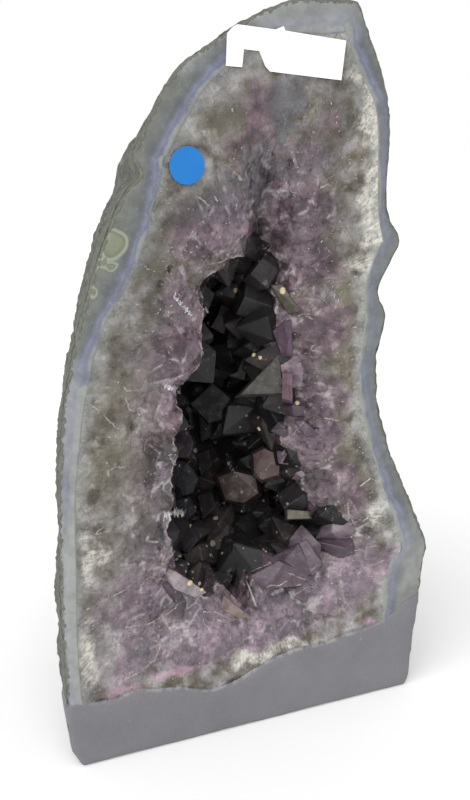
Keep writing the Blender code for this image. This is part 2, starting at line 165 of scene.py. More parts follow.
def offset_loop(loop, distances):
    """The loop moved outwards, across itself, by one distance for each point."""
    moved = []
    for i, point in enumerate(loop):
        along = loop[(i + 1) % len(loop)].xy - loop[i - 1].xy
        moved.append(point.xy + Vector((-along.y, along.x)).normalized() * distances[i])
    return moved


def relax_loop(loop, rounds):
    """The loop with its points drawn towards their neighbours."""
    for _ in range(rounds):
        loop = [(loop[i - 1] + 2 * p + loop[(i + 1) % len(loop)]) / 4 for i, p in enumerate(loop)]
    return loop


def outline_shares(curve, count):
    """Shares along the curve, close together above the floor and wide apart under it."""
    fine, lengths = curve
    weighted = [0.0]
    for i in range(1, len(fine)):
        weight = 1.0 if fine[i].y > 0 else HIDDEN_STRETCH
        weighted.append(weighted[-1] + (lengths[i] - lengths[i - 1]) * weight)
    shares = []
    for k in range(count):
        target = weighted[-1] * k / count
        i = bisect.bisect_right(weighted, target)
        step = (target - weighted[i - 1]) / (weighted[i] - weighted[i - 1])
        shares.append((lengths[i - 1] + (lengths[i] - lengths[i - 1]) * step) / lengths[-1])
    return shares


outline_curve = smooth_curve(FRONT_OUTLINE)
SHARES = outline_shares(outline_curve, AROUND)
OUTLINE = [read_curve(outline_curve, share) for share in SHARES]
coarse = [read_curve(outline_curve, k / COARSE_STEPS).xy for k in range(COARSE_STEPS)]
coarse = relax_loop(coarse, GIRTH_ROUNDS)


def girth_point(share):
    """The evened outline behind the saw cut, at that share of the way along the sawn one."""
    k, step = int(share * COARSE_STEPS), share * COARSE_STEPS % 1
    return coarse[k % COARSE_STEPS].lerp(coarse[(k + 1) % COARSE_STEPS], step)


GIRTH = relax_loop([girth_point(share) for share in SHARES], GIRTH_EVENING)
AGATE_EDGE = relax_loop(offset_loop(OUTLINE, [-point.z for point in OUTLINE]), AGATE_EVENING)


def dome_point(edge, depth, turn, fullness):
    """A point of the pod's dome: turn 0 is its edge on the saw cut, and 1 the end of its back."""
    across = math.cos(turn * math.pi / 2)
    power = fullness * (edge - POD_CENTRE).length / NARROW
    place = POD_CENTRE.lerp(edge, across)
    return Vector((place.x, depth * (1 - across**power), place.y))


def layered_noise(point, layers):
    return sum(height * noise.noise(point / breadth) for height, breadth in layers)


def ramp(value, low, high):
    """0 at low and 1 at high, straight between and held beyond."""
    return min(1.0, max(0.0, (value - low) / (high - low)))


def cement_height(x):
    """The height of the foot's upper edge, which is the same all the way back."""
    x = min(max(x, CEMENT_LINE[0][0]), CEMENT_LINE[-1][0] - 1e-6)
    i = bisect.bisect_right([place for place, _ in CEMENT_LINE], x)
    (left, low), (right, high) = CEMENT_LINE[i - 1], CEMENT_LINE[i]
    return low + (high - low) * (x - left) / (right - left)


def skin_point(i, turn):
    """A point of the basalt skin, lumpy and grainy away from the saw cut."""
    edge = OUTLINE[i].xy.lerp(GIRTH[i], min(1.0, turn / EVENED_WITHIN))
    point = dome_point(edge, POD_DEPTH - STRAIGHT_BACK, turn, SKIN_FULLNESS)
    point.y += STRAIGHT_BACK * min(1.0, turn * SKIN_RINGS)
    lump = layered_noise(point, SKIN_LUMPS) * min(1.0, turn * 4, (1 - turn) * 3)
    grain = layered_noise(point, SKIN_GRAIN) * min(1.0, 0.5 + turn)
    under = ramp(point.z, cement_height(point.x) + 2, cement_height(point.x) - 2)
    grain = grain * (1 - under) - IN_CEMENT * under
    out = Vector((edge.x - POD_CENTRE.x, 0, edge.y - POD_CENTRE.y)).normalized()
    return point + (out + Vector((0, min(0.7, turn * 4), 0))) * (lump + grain)


def behind_cement(x, z):
    """How far the stone's face drops back there, so that the foot covers it."""
    return SUNK * ramp(z, cement_height(x), cement_height(x) - 3)


def stain_and_shade_value(stains, x, z):
    """How strongly the nearest of those stains or patches of painted shade colours that place."""
    warp = Vector((x, 0, z)) / STAIN_WAVES
    x += STAIN_WARP * noise.noise(warp)
    z += STAIN_WARP * noise.noise(warp + Vector((9, 0, 4)))
    best = 0.0
    for middle_x, middle_z, half_width, half_height, strength in stains:
        far = ((x - middle_x) / half_width) ** 2 + ((z - middle_z) / half_height) ** 2
        best = max(best, strength * math.exp(-far * STAIN_FADE))
    return best


def stain_and_shade_values(stains, x, z, **others):
    """The values of all those stains and patches of painted shade at that place, with the others
    given.
    """
    return {name: stain_and_shade_value(places, x, z) for name, places in stains.items()} | others


def ringed_mesh(rows, around):
    """A closed skin of rings, from a grid that is rolled up, with one row for each ring.

    A row is a function from a step round the loop to a point and the values that its layers
    hold there."""
    bm = bmesh.new()
    bmesh.ops.create_grid(bm, x_segments=around, y_segments=len(rows) - 1, size=1)
    names = sorted({name for row in rows for name in row(0)[1]})
    layers = {name: bm.verts.layers.float.new(name) for name in names}
    for number, vert in enumerate(bm.verts):
        row, step = divmod(number, around + 1)
        vert.co, values = rows[row](step % around)
        for name, value in values.items():
            vert[layers[name]] = value
    bmesh.ops.remove_doubles(bm, verts=bm.verts, dist=1e-4)
    bmesh.ops.recalc_face_normals(bm, faces=bm.faces)
    return bm


def cut_off(bm, place, outwards):
    """Cuts off what lies beyond the plane through that place, and closes the cut."""
    geom = [*bm.verts, *bm.edges, *bm.faces]
    cut = bmesh.ops.bisect_plane(
        bm, geom=geom, plane_co=place, plane_no=outwards, clear_outer=True
    )
    edges = [part for part in cut["geom_cut"] if isinstance(part, bmesh.types.BMEdge)]
    bmesh.ops.holes_fill(bm, edges=edges, sides=0)


def mesh_of(name, bm):
    """The mesh of a bmesh that is done with."""
    mesh = bpy.data.meshes.new(name)
    bm.to_mesh(mesh)
    bm.free()
    return mesh


def finished_piece(name, bm, material, node, smooth=True, sharp=None):
    """The mesh made a piece of the geode, in the frame's metres, that rides on its body."""
    bmesh.ops.scale(bm, vec=(MM, MM, MM), verts=bm.verts)
    bmesh.ops.translate(bm, vec=ORIGIN, verts=bm.verts)
    for face in bm.faces:
        face.smooth = smooth
    mesh = mesh_of(name, bm)
    if sharp:
        mesh.set_sharp_from_angle(angle=math.radians(sharp))
    mesh.materials.append(material)
    piece = added_object(name, mesh)
    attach(piece, "root")
    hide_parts(node)
    return piece


def paint(red, green, blue):
    """A colour given as a screen shows it, from 0 to 255, as the shader wants it."""
    return (*((part / 255) ** 2.2 for part in (red, green, blue)), 1)


def set_inputs(node, **inputs):
    """Sets a node's inputs to values, or links them to the sockets of other nodes."""
    for name, value in inputs.items():
        socket = node.inputs[int(name[1:]) if name[1:].isdigit() else name.replace("_", " ")]
        if isinstance(value, bpy.types.NodeSocket):
            node.id_data.links.new(value, socket)
        else:
            socket.default_value = value
    return node


def add_node(kind, settings=(), **inputs):
    """A shader node, in the material of the first socket among its inputs."""
    beside = next(value for value in inputs.values() if isinstance(value, bpy.types.NodeSocket))
    made = beside.id_data.nodes.new("ShaderNode" + kind)
    for name, value in dict(settings).items():
        setattr(made, name, value)
    return set_inputs(made, **inputs)


def surface_material(name):
    """A new material, its shader, and the place on the object for its patterns."""
    material = bpy.data.materials.new(name)
    material.use_nodes = True
    nodes = material.node_tree.nodes
    return material, nodes["Principled BSDF"], nodes.new("ShaderNodeTexCoord").outputs["Object"]


def layer_value(material, name, output="Fac"):
    """What a layer of the mesh holds there."""
    made = material.node_tree.nodes.new("ShaderNodeAttribute")
    made.attribute_name = name
    return made.outputs[output]


def grain_value(place, breadth, detail=3, roughness=0.6):
    """Soft noise from 0 to 1, with lumps of that breadth in millimetres."""
    scale = 1 / (breadth * MM)
    made = add_node("TexNoise", Vector=place, Scale=scale, Detail=detail, Roughness=roughness)
    return made.outputs["Fac"]


def between(value, low, high, to_low=0.0, to_high=1.0):
    """The value stretched from low and high to to_low and to_high, and held there."""
    made = add_node(
        "MapRange", {"interpolation_type": "SMOOTHSTEP"}, Value=value, From_Min=low, From_Max=high,
        To_Min=to_low, To_Max=to_high,
    )
    return made.outputs["Result"]


def wavering(place, breadth, low, high, detail=3, roughness=0.6):
    """Soft noise that wavers from low to high."""
    return between(grain_value(place, breadth, detail, roughness), 0.3, 0.7, low, high)


def arithmetic(operation, first, second):
    return add_node("Math", {"operation": operation}, i0=first, i1=second).outputs[0]


def plus(first, second):
    return arithmetic("ADD", first, second)


def minus(first, second):
    return arithmetic("SUBTRACT", first, second)


def times(first, second):
    return arithmetic("MULTIPLY", first, second)


def laid_over(colour, share, over, how="MIX"):
    """The colour with another one over it, at that share of its strength."""
    settings = {"data_type": "RGBA", "blend_type": how}
    return add_node("Mix", settings, i0=share, i6=colour, i7=over).outputs[2]


def colour_steps(value, stops):
    """A colour ramp over the value: stops are (place, colour)."""
    made = add_node("ValToRGB", Fac=value)
    steps = made.color_ramp
    while len(steps.elements) < len(stops):
        steps.elements.new(1.0)
    for element, (place, colour) in zip(steps.elements, stops):
        element.position = place
        element.color = colour
    return made.outputs["Color"]


def toned(colour, tone):
    """The colour made darker or lighter by the tone, which is 1 where it stays."""
    grey = add_node("CombineColor", Red=tone, Green=tone, Blue=tone).outputs[0]
    return laid_over(colour, 1.0, grey, "MULTIPLY")


def relief_bump(height, distance, **inputs):
    """A bump of that height, which is 1 at that many metres."""
    return add_node("Bump", Height=height, Distance=distance, **inputs).outputs["Normal"]


def shell_material():
    """Basalt skin, dark rim and bluish agate, by the distance from the quartz in millimetres."""
    material, shader, place = surface_material("basalt_and_agate")
    pale = layer_value(material, "pale")
    from_quartz = plus(layer_value(material, "from_quartz"), wavering(place, 16, -1.5, 1.5, 4))
    from_quartz = minus(from_quartz, between(pale, 0, 1, 0, PALE_ZONE))
    agate = colour_steps(
        arithmetic("DIVIDE", from_quartz, BAND_WIDTH),
        [(0.0, paint(136, 138, 132)), (0.05, paint(134, 136, 138)), (0.09, paint(114, 117, 131)),
         (0.14, paint(107, 110, 126)), (0.19, paint(116, 119, 135)), (0.25, paint(104, 107, 120)),
         (0.33, paint(94, 98, 101)), (0.45, paint(102, 105, 103)), (0.60, paint(108, 110, 106)),
         (1.0, paint(101, 102, 97))],
    )
    agate = laid_over(agate, between(pale, 0.2, 0.7, 0, 0.6), paint(148, 150, 150))
    slate = between(layer_value(material, "slate"), 0.2, 0.7, 0, 0.7)
    agate = laid_over(agate, slate, paint(108, 112, 115))
    agate = toned(agate, wavering(place, 7, 0.86, 1.14, 4))
    nodule = layer_value(material, "nodule")
    inlay = colour_steps(
        nodule,
        [(0.44, paint(134, 138, 122)), (0.54, paint(146, 150, 134)), (0.64, paint(108, 114, 96)),
         (0.85, paint(124, 129, 110))],
    )
    agate = laid_over(agate, between(nodule, 0.38, 0.44), inlay)
    flecks = between(grain_value(place, 2.2, 4, 0.7), 0.56, 0.7, 0, 0.3)
    agate = laid_over(agate, flecks, paint(160, 162, 166))

    skin = colour_steps(
        grain_value(place, 3.6, 5, 0.7),
        [(0.30, paint(54, 55, 53)), (0.45, paint(88, 89, 84)), (0.58, paint(112, 112, 104)),
         (0.75, paint(146, 144, 131))],
    )
    green = between(grain_value(place, 24, 4), 0.5, 0.62, 0, 0.4)
    skin = laid_over(skin, green, paint(88, 95, 82))
    rust = between(grain_value(place, 14, 5, 0.7), 0.6, 0.72, 0, 0.5)
    skin = laid_over(skin, rust, paint(118, 98, 76))

    from_skin = layer_value(material, "from_skin")
    on_face = between(plus(from_skin, wavering(place, 3.3, -0.9, 0.9)), 0.8, 2.2)
    colour = laid_over(skin, on_face, agate)
    beside = times(between(from_skin, -26, -8, 0, 0.55), between(on_face, 0, 1, 1, 0))
    colour = laid_over(colour, beside, paint(114, 115, 104))
    pits = times(grain_value(place, 1.4, 4, 0.7), between(on_face, 0, 1, 1.0, 0.12))
    set_inputs(
        shader, Base_Color=colour, Roughness=between(on_face, 0, 1, 0.85, 0.4),
        Normal=relief_bump(pits, 0.0009),
    )
    return material


def stone_shell():
    """The shell's mesh: skin rows, the sawn bands, then the socket behind the crystal crust."""

    def skin_row(turn):
        return lambda i: (skin_point(i, turn), {"from_skin": -turn * 200, "from_quartz": 20})

    def band_row(share):
        def point(i):
            place = OUTLINE[i].xy.lerp(AGATE_EDGE[i], share)
            width = (OUTLINE[i].xy - AGATE_EDGE[i]).length
            from_skin = width * share
            flat = Vector((place.x, 0, place.y))
            depth, breadth, fade = RIND_CHIPS
            chip = depth * max(0.0, noise.noise(flat / breadth)) * math.exp(-from_skin / fade)
            rough = layered_noise(flat, SKIN_GRAIN) * math.exp(-from_skin) * 0.5
            out = (OUTLINE[i].xy - POD_CENTRE).normalized() * rough
            y = 0.2 + RIND_ROUND * math.exp(-from_skin / RIND_ROUNDED) + chip
            y += FACE_WAVES[0] * noise.noise(flat / FACE_WAVES[1]) + behind_cement(*place)
            values = stain_and_shade_values(
                BAND_STAINS, *place, from_skin=from_skin, from_quartz=width - from_skin
            )
            return Vector((place.x + out.x, y, place.y + out.y)), values

        return point

    def socket_row(turn):
        depth = POD_DEPTH - SHELL_BACK
        values = {"from_skin": 20, "from_quartz": 0}
        return lambda i: (dome_point(AGATE_EDGE[i], depth, turn, SOCKET_FULLNESS), values)

    rows = [skin_row(1 - row / SKIN_ROWS) for row in range(SKIN_ROWS)]
    rows += [band_row((row / BAND_ROWS) ** 1.4) for row in range(BAND_ROWS)]
    rows += [socket_row(row / SOCKET_ROWS) for row in range(SOCKET_ROWS + 1)]
    bm = ringed_mesh(rows, AROUND)
    cut_off(bm, (0, 0, FLOOR_CUT), (0, 0, -1))
    piece = finished_piece("stone_shell", bm, shell_material(), "geode_shell")


stone_shell()

# The crust is quartz that grew inwards from the agate and turns to amethyst towards the
# hollow. The saw has left it nearly flat, with a groove above the mouth and chipped edges:
# cloudy and streaky by the agate, mauve and glassy by the hollow, whose wall it lines.
MOUTH_OUTLINE = [
    (-44, 92), (-51, 99), (-53, 108), (-49, 119), (-51, 129), (-48, 139), (-46, 147), (-48, 157),
    (-47, 167), (-44, 173), (-47, 182), (-45, 190), (-43, 197), (-46, 205), (-44, 212), (-39, 216),
    (-33, 223), (-30, 232), (-30, 242), (-28, 252), (-31, 260), (-30, 267), (-26, 271), (-21, 273),
    (-15, 275), (-12, 278), (-8, 280), (-3, 279), (3, 280), (9, 282), (15, 282), (19, 279),
    (22, 272), (17, 262), (20, 252), (16, 244), (15, 235), (18, 226), (21, 217), (24, 205),
    (32, 199), (32, 190), (28, 181), (24, 172), (28, 162), (37, 151), (39, 141), (39, 133),
    (46, 127), (56, 118), (63, 108), (62, 97), (56, 101), (54, 97), (38, 99), (34, 95),
    (25, 90), (19, 87), (16, 91), (8, 88), (4, 90), (1, 88), (-1, 79), (-3, 72), (-8, 78),
    (-14, 86), (-20, 90), (-24, 84), (-34, 87),
]
MOUTH_SPINE = Vector((-6, 130)), Vector((0, 250))  # its middle line, bottom and top
HOLLOW_DEPTH, HOLLOW_CENTRE = 104, Vector((-6, 176))
GROOVE_HEIGHTS = (286, 352)  # it is deepest at the first and ends at the second
GROOVE_LEFT, GROOVE_BOTTOM, GROOVE_RIGHT, GROOVE_DEPTH = -15, 15, 24, 15
GROOVE_FOOT = (255, 276)  # heights over which it begins
RIM_DROP = 5  # how far the face falls off beside the mouth
SLOPE_DROP = 9  # how much further it falls off on the mouth's right side
MASS_DROP = 3  # how far it lies behind the mauve masses between them
SLOPE_ACROSS, SLOPE_UP = (-2, 10), (105, 125)  # x and heights over which that side begins
CHALKY_FROM = (240, 270)  # heights over which the chalky stone of the rim begins
CHALK_ROUGH = ((2.2, 3.2), (1.6, 6))  # its lumps: height, breadth
FACE_LUMPS = (0.8, 9)  # the same for the whole face
LABEL_MIDDLE, LABEL_REACH = (15, 384), (42, 20)
STICKER_REACH = 14
RIDGE_SHARE = 0.06  # how near to the next facet's height a ridge begins, as a share of spacing
GAP = 0.5  # between the crust and the shell
CRUST_FLOOR = 18  # the crust ends here, inside the foot
CRUST_AROUND = 1100
CRUST_SOCKET_ROWS, FACE_ROWS, LINING_ROWS = 3, 60, 24
EVENED = 5  # steps on either side over which the mouth's steps are evened
MOUTH_CHIPS = 1.6  # how far its edge is chipped, as a share of the fine facets' height
BROAD, FINE = 15, 3.8  # spacing of the broad and the fine facets
BROAD_SLOPE, FINE_SLOPE = (0.15, 0.5), (0.25, 0.7)
FIELD_CORNER, FIELD_SIZE = (-130, -20), (260, 440)  # x and height that the facets cover
SIDE_SLOPES, PEAK_STEP = (0.5, 1.3), 0.08  # how much the sides of a facet and its peak may differ

# Stains on the crust, and patches of painted shade: x, height, half width, half height, strength.
STAINS_AND_SHADES = {
    "mauve": [
        (-33, 292, 14, 10, 1), (-19, 304, 8, 8, 0.8), (-1, 296, 9, 7, 0.9), (-43, 234, 14, 16, 1),
        (-45, 262, 9, 12, 0.5), (-46, 199, 9, 14, 0.9), (-48, 177, 7, 10, 0.5),
        (2, 352, 11, 17, 0.9), (-13, 336, 9, 10, 0.6), (32, 303, 14, 13, 0.9),
        (34, 274, 16, 14, 0.9), (40, 235, 15, 15, 1), (46, 197, 10, 13, 0.8), (46, 175, 8, 16, 1),
        (55, 149, 10, 11, 0.8), (66, 133, 12, 13, 0.6), (43, 347, 10, 13, 0.5),
        (-85, 99, 15, 13, 0.6), (-52, 116, 11, 12, 0.7), (27, 290, 10, 10, 0.9),
        (24, 268, 8, 9, 0.8), (25, 245, 11, 11, 1), (29, 213, 8, 14, 0.8), (35, 186, 8, 12, 1),
        (38, 165, 8, 9, 0.8), (48, 138, 8, 10, 0.7), (-55, 205, 8, 7, 0.5),
    ],
    "lilac": [
        (1, 358, 4, 8, 0.5), (8, 348, 4, 7, 0.5), (16, 338, 6, 4, 0.6), (29, 334, 10, 3, 0.7),
        (-76, 90, 24, 16, 0.9), (-83, 59, 26, 14, 0.8), (-35, 63, 31, 18, 1), (9, 66, 30, 20, 1),
        (49, 77, 30, 17, 1), (76, 88, 17, 12, 0.9),
    ],
    "pink": [
        (-48, 47, 15, 4, 1), (-84, 41, 16, 4, 0.8), (77, 49, 6, 4, 0.8), (-15, 78, 9, 8, 0.5),
        (19, 315, 5, 3, 0.8),
    ],
    "olive": [
        (-52, 279, 13, 8, 0.8), (-78, 212, 14, 16, 0.6), (-75, 173, 19, 17, 0.9),
        (-41, 269, 8, 6, 0.8), (-20, 352, 12, 11, 0.7), (54, 242, 6, 34, 0.9), (52, 178, 7, 18, 0.7),
        (-60, 314, 7, 12, 0.5), (43, 284, 10, 5, 0.7), (60, 164, 7, 12, 0.6), (-38, 322, 7, 7, 0.6),
    ],
    # Grey painted shade: in the groove above the mouth and about the mouth's left and lower edges,
    # where the face falls away into the hollow.
    "smoke": [
        (-14, 308, 12, 11, 1), (-27, 309, 11, 9, 0.9), (18, 321, 11, 11, 1), (4, 318, 12, 22, 1),
        (15, 356, 12, 17, 0.9), (39, 330, 14, 5, 0.8), (-9, 319, 8, 10, 0.6), (-71, 65, 9, 16, 0.7),
        (-37, 86, 15, 6, 1), (-51, 162, 8, 18, 1), (-52, 132, 8, 14, 1), (-36, 75, 14, 7, 0.8),
    ],
    "mist": [
        (-27, 369, 15, 9, 1), (-12, 377, 12, 5, 0.6), (-48, 62, 22, 6, 0.5), (-94, 62, 9, 24, 0.9),
        (-88, 100, 9, 14, 0.6), (-89, 68, 8, 18, 0.9), (-92, 124, 6, 10, 0.5), (-66, 48, 18, 5, 0.5),
        (-28, 42, 25, 5, 0.5), (-98, 150, 6, 18, 0.4),
    ],
    # Dark purple painted shade, mostly about the mouth's edges and beside the groove, where the face
    # falls away into the hollow.
    "dusk": [
        (-54, 252, 9, 9, 0.6), (-55, 231, 10, 12, 0.9), (-56, 217, 9, 8, 0.5), (-40, 261, 9, 9, 0.4),
        (24, 328, 9, 9, 0.8), (32, 340, 10, 10, 0.8), (45, 327, 10, 10, 0.7), (-40, 308, 9, 8, 0.9),
        (-68, 236, 11, 12, 0.9), (-40, 306, 11, 8, 0.8), (-26, 305, 10, 8, 0.6),
        (17, 318, 9, 10, 0.8), (46, 301, 11, 9, 0.9), (-41, 256, 10, 10, 0.9),
        (-58, 270, 9, 11, 0.5), (17, 250, 8, 11, 0.8), (31, 330, 12, 11, 1), (34, 205, 9, 9, 0.8),
        (49, 204, 9, 9, 0.6), (40, 146, 14, 12, 0.8), (47, 112, 9, 9, 0.7), (-43, 83, 11, 9, 0.9),
        (-30, 65, 13, 9, 0.9), (-57, 168, 8, 22, 0.9), (-57, 131, 8, 11, 0.8), (19, 178, 7, 10, 0.9),
        (-22, 84, 10, 7, 0.6), (-45, 64, 10, 8, 0.6), (-61, 248, 8, 7, 0.4), (-60, 280, 8, 8, 0.3),
        (-68, 262, 7, 7, 0.3), (32, 190, 9, 16, 0.5), (60, 137, 9, 9, 0.5),
    ],
    "cream": [
        (67, 356, 7, 20, 1), (70, 314, 7, 18, 0.8), (73, 292, 9, 10, 1), (64, 273, 8, 7, 0.8),
        (56, 373, 10, 7, 0.7), (-99, 125, 6, 17, 0.6), (-103, 69, 7, 22, 0.6), (-3, 42, 16, 6, 0.8),
        (28, 45, 18, 4, 0.6), (95, 68, 7, 16, 0.3), (79, 120, 8, 10, 0.5), (-92, 124, 6, 8, 0.6),
    ],
}

STAIN_AND_SHADE_PAINTS = [  # stains and painted shade laid over the others: where each begins and is full, strength, colour
    ("smoke", 0.2, 0.75, 0.85, paint(84, 84, 88)), ("dusk", 0.1, 0.9, 0.62, paint(48, 36, 40)),
    ("mist", 0.1, 0.8, 0.7, paint(154, 150, 149)), ("pink", 0.2, 0.8, 0.7, paint(158, 128, 142)),
]
SHADE_FROM = 0.012  # metres behind the saw cut where the painted shade of the hollow begins
STREAK_WIDTH, STREAK_LENGTH = 1.5, 8  # of the streaks that run in from the agate
RIM_WIDTH = 1.3  # of the pale rim along the mouth's edge
WALL_LUMPS = (2.5, 9)  # the hollow's wall: height, breadth
noise.seed_set(7)  # without a seed, those lumps would lie elsewhere on each run


def facet_field(seed, spacing, slopes):
    """Scattered three-sided points of crystal, of which the highest shows at each place."""
    rng = random.Random(seed)
    cells = []
    for column in range(int(FIELD_SIZE[0] / spacing)):
        for row in range(int(FIELD_SIZE[1] / spacing)):
            x = FIELD_CORNER[0] + (column + rng.random()) * spacing
            z = FIELD_CORNER[1] + (row + rng.random()) * spacing
            turn, slope = rng.random() * math.tau / 3, rng.uniform(*slopes)
            sides = [
                (math.cos(turn + k * math.tau / 3) * slope * rng.uniform(*SIDE_SLOPES),
                 math.sin(turn + k * math.tau / 3) * slope * rng.uniform(*SIDE_SLOPES))
                for k in range(3)
            ]
            peak = rng.uniform(-PEAK_STEP, PEAK_STEP) * spacing
            cells.append((x, z, peak, sides, rng.random()))
    tree = kdtree.KDTree(len(cells))
    for number, cell in enumerate(cells):
        tree.insert((cell[0], cell[1], 0), number)
    tree.balance()

    def field(x, z):
        found = []
        for _, number, _ in tree.find_n((x, z, 0), 4):
            cx, cz, peak, sides, tone = cells[number]
            drop = max((x - cx) * sx + (z - cz) * sz for sx, sz in sides)
            found.append((peak - drop, tone))
        found.sort(reverse=True)
        ridge = max(0.0, 1 - (found[0][0] - found[1][0]) / (RIDGE_SHARE * spacing))
        return found[0][0], ridge, found[0][1]

    return field


broad_facets = facet_field(3, BROAD, BROAD_SLOPE)
fine_facets = facet_field(4, FINE, FINE_SLOPE)


def spine_point(z):
    low, high = MOUTH_SPINE
    return low.lerp(high, ramp(z, low.y, high.y))


def crust_edge():
    """The crust's edge against the agate, closed by a straight run inside the foot.

    Points that would turn back round the mouth's middle line are left out."""
    kept = []
    for point in AGATE_EDGE:
        middle = spine_point(point.y)
        if point.y < CRUST_FLOOR or kept and (kept[-1] - middle).cross(point - middle) > 0:
            continue
        kept.append(point)
    curve = measured([point.to_3d() for point in kept])
    return [read_curve(curve, k / CRUST_AROUND).xy for k in range(CRUST_AROUND)]


def mouth_share(curve, place):
    """How far along the mouth's edge the line from that place to its middle line crosses it."""
    points, lengths = curve
    middle = spine_point(place.y)
    found = []
    for k, (a, b) in enumerate(zip(points, points[1:])):
        crossing = intersect_line_line_2d(place, middle, a.xy, b.xy)
        if crossing:
            found.append(((crossing - place).length, lengths[k] + (crossing - a.xy).length))
    return min(found)[1] / lengths[-1]


def mouth_points(loop):
    """The mouth's edge in as many steps as the loop, each near its own step of the loop."""
    curve = smooth_curve([(x, z, 0) for x, z in MOUTH_OUTLINE])
    shares = []
    for place in loop:
        share = mouth_share(curve, place)
        shares.append(share + round(shares[-1] - share) if shares else share)
    way = 1 if shares[-1] > shares[0] else -1
    furthest = shares[0]
    for k, share in enumerate(shares):
        furthest = way * min(max(way * share, way * furthest), way * shares[0] + 1)
        shares[k] = furthest
    count, points = len(loop), []
    for k in range(count):
        near = [shares[n % count] + way * (n // count) for n in range(k - EVENED, k + EVENED + 1)]
        point = read_curve(curve, sum(near) / len(near) % 1).xy
        outwards = (point - spine_point(point.y)).normalized()
        points.append(point + outwards * fine_facets(point.x, point.y)[0] * MOUTH_CHIPS)
    return points


EDGE = crust_edge()
MOUTH = mouth_points(EDGE)
EDGE_STEP = measured([point.to_3d() for point in EDGE])[1][-1] / CRUST_AROUND


def flush_share(x, z):
    """0 under the label and the dot, where the crust is level with the saw cut, and 1 away."""
    from_label = max(
        abs(x - LABEL_MIDDLE[0]) / LABEL_REACH[0], abs(z - LABEL_MIDDLE[1]) / LABEL_REACH[1]
    )
    from_dot = math.hypot(x - STICKER_CENTRE[0], z - STICKER_CENTRE[1]) / STICKER_REACH
    return min(1.0, max(0.0, min(from_label, from_dot) - 1) * 2)


def groove(x, z):
    """How deep the groove above the mouth is there: gentle on its left and steep on its right."""
    bottom = GROOVE_DEPTH * ramp(z, GROOVE_HEIGHTS[1], GROOVE_HEIGHTS[0]) ** 0.8
    side = min(ramp(x, GROOVE_LEFT, GROOVE_BOTTOM) ** 1.3, ramp(x, GROOVE_RIGHT, GROOVE_BOTTOM))
    return bottom * side * ramp(z, *GROOVE_FOOT)


def face_relief(x, z, share):
    """How far the sawn and chipped face lies behind the saw cut there, and its facet's looks."""
    broad, ridge, tone = broad_facets(x, z)
    fine, _, fine_tone = fine_facets(x, z)
    flat = Vector((x, 0, z))
    glassy = ramp(share, 0.3, 0.75)
    depth = groove(x, z)
    chalky = stain_and_shade_value(STAINS_AND_SHADES["cream"], x, z) * ramp(z, *CHALKY_FROM)
    mass = stain_and_shade_value(STAINS_AND_SHADES["mauve"], x, z)
    faceted = 0.2 + 0.8 * glassy * (1 - 0.8 * mass)
    relief = max(0.0, 0.7 - broad * faceted) + max(0.0, 0.25 - fine * 0.7 * (1 - 0.7 * mass))
    relief += FACE_LUMPS[0] * max(0.0, noise.noise(flat / FACE_LUMPS[1]))
    relief += RIM_DROP * share**5 * (1 - 0.5 * mass)
    held_up = max(mass, 0.8 * stain_and_shade_value(STAINS_AND_SHADES["lilac"], x, z))
    relief += MASS_DROP * ramp(share, 0.3, 0.8) * (1 - ramp(held_up, 0.1, 0.7))
    relief += SLOPE_DROP * share**2.6 * ramp(x, *SLOPE_ACROSS) * ramp(z, *SLOPE_UP)
    (fine_lump, fine_breadth), (lump, breadth) = CHALK_ROUGH
    lumps = fine_lump * max(0.0, noise.noise(flat / fine_breadth))
    relief += chalky * (lumps + lump * abs(noise.noise(flat / breadth)))
    relief += depth * (1 + 0.25 * noise.noise(flat / 8)) + 0.12 * depth * (0.5 - fine)
    looks = {"tone": tone, "fine_tone": fine_tone, "ridge": ridge}
    return 0.35 + flush_share(x, z) * relief + behind_cement(x, z), looks


def lining_place(edge, turn):
    """A point of the wall that the crystals grow from."""
    across = math.cos(turn * math.pi / 2)
    place = HOLLOW_CENTRE.lerp(edge, across)
    rim = face_relief(edge.x, edge.y, 1)[0]
    depth = math.sin(turn * math.pi / 2)
    return Vector((place.x, rim + (HOLLOW_DEPTH - rim) * depth, place.y))


def vector_sum(operation, first, second):
    made = add_node("VectorMath", {"operation": operation}, i0=first, i1=second)
    return made.outputs["Value" if operation == "DOT_PRODUCT" else "Vector"]


def wandering(place, breadth, reach):
    """The place moved about by up to that many millimetres."""
    made = add_node("TexNoise", Vector=place, Scale=1 / (breadth * MM), Detail=3)
    off = vector_sum("SUBTRACT", made.outputs["Color"], (0.5, 0.5, 0.5))
    off = vector_sum("MULTIPLY", off, (2 * reach * MM,) * 3)
    return vector_sum("ADD", place, off)


def chip_height(place, breadth):
    """The height in metres of a surface of flat chips, each of which leans its own way."""
    cell = add_node("TexVoronoi", Vector=place, Scale=1 / (breadth * MM))
    off = vector_sum("SUBTRACT", place, cell.outputs["Position"])
    lean = vector_sum("SUBTRACT", cell.outputs["Color"], (0.5, 0.5, 0.5))
    return vector_sum("DOT_PRODUCT", off, lean)


def chip_tone(place, breadth, low, high):
    """A tone that is even over each chip."""
    cell = add_node("TexVoronoi", Vector=place, Scale=1 / (breadth * MM))
    red = add_node("SeparateColor", Color=cell.outputs["Color"]).outputs[0]
    return between(red, 0, 1, low, high)


def vein_lines(place, breadth, width):
    """1 on thin lines that wander like healed cracks, and 0 off them."""
    off = arithmetic("ABSOLUTE", minus(grain_value(place, breadth, 4, 0.55), 0.5), 0.0)
    return between(off, 0.2 * width, width, 1, 0)


def painted_shade_inwards(colour, place, full_shade_at, deepest_shade):
    """The colour with the hollow's painted shade: darker and darker behind the saw cut, to that many
    metres.
    """
    depth = minus(add_node("SeparateXYZ", Vector=place).outputs["Y"], ORIGIN.y)
    return toned(colour, between(depth, SHADE_FROM, full_shade_at, 1.0, deepest_shade))


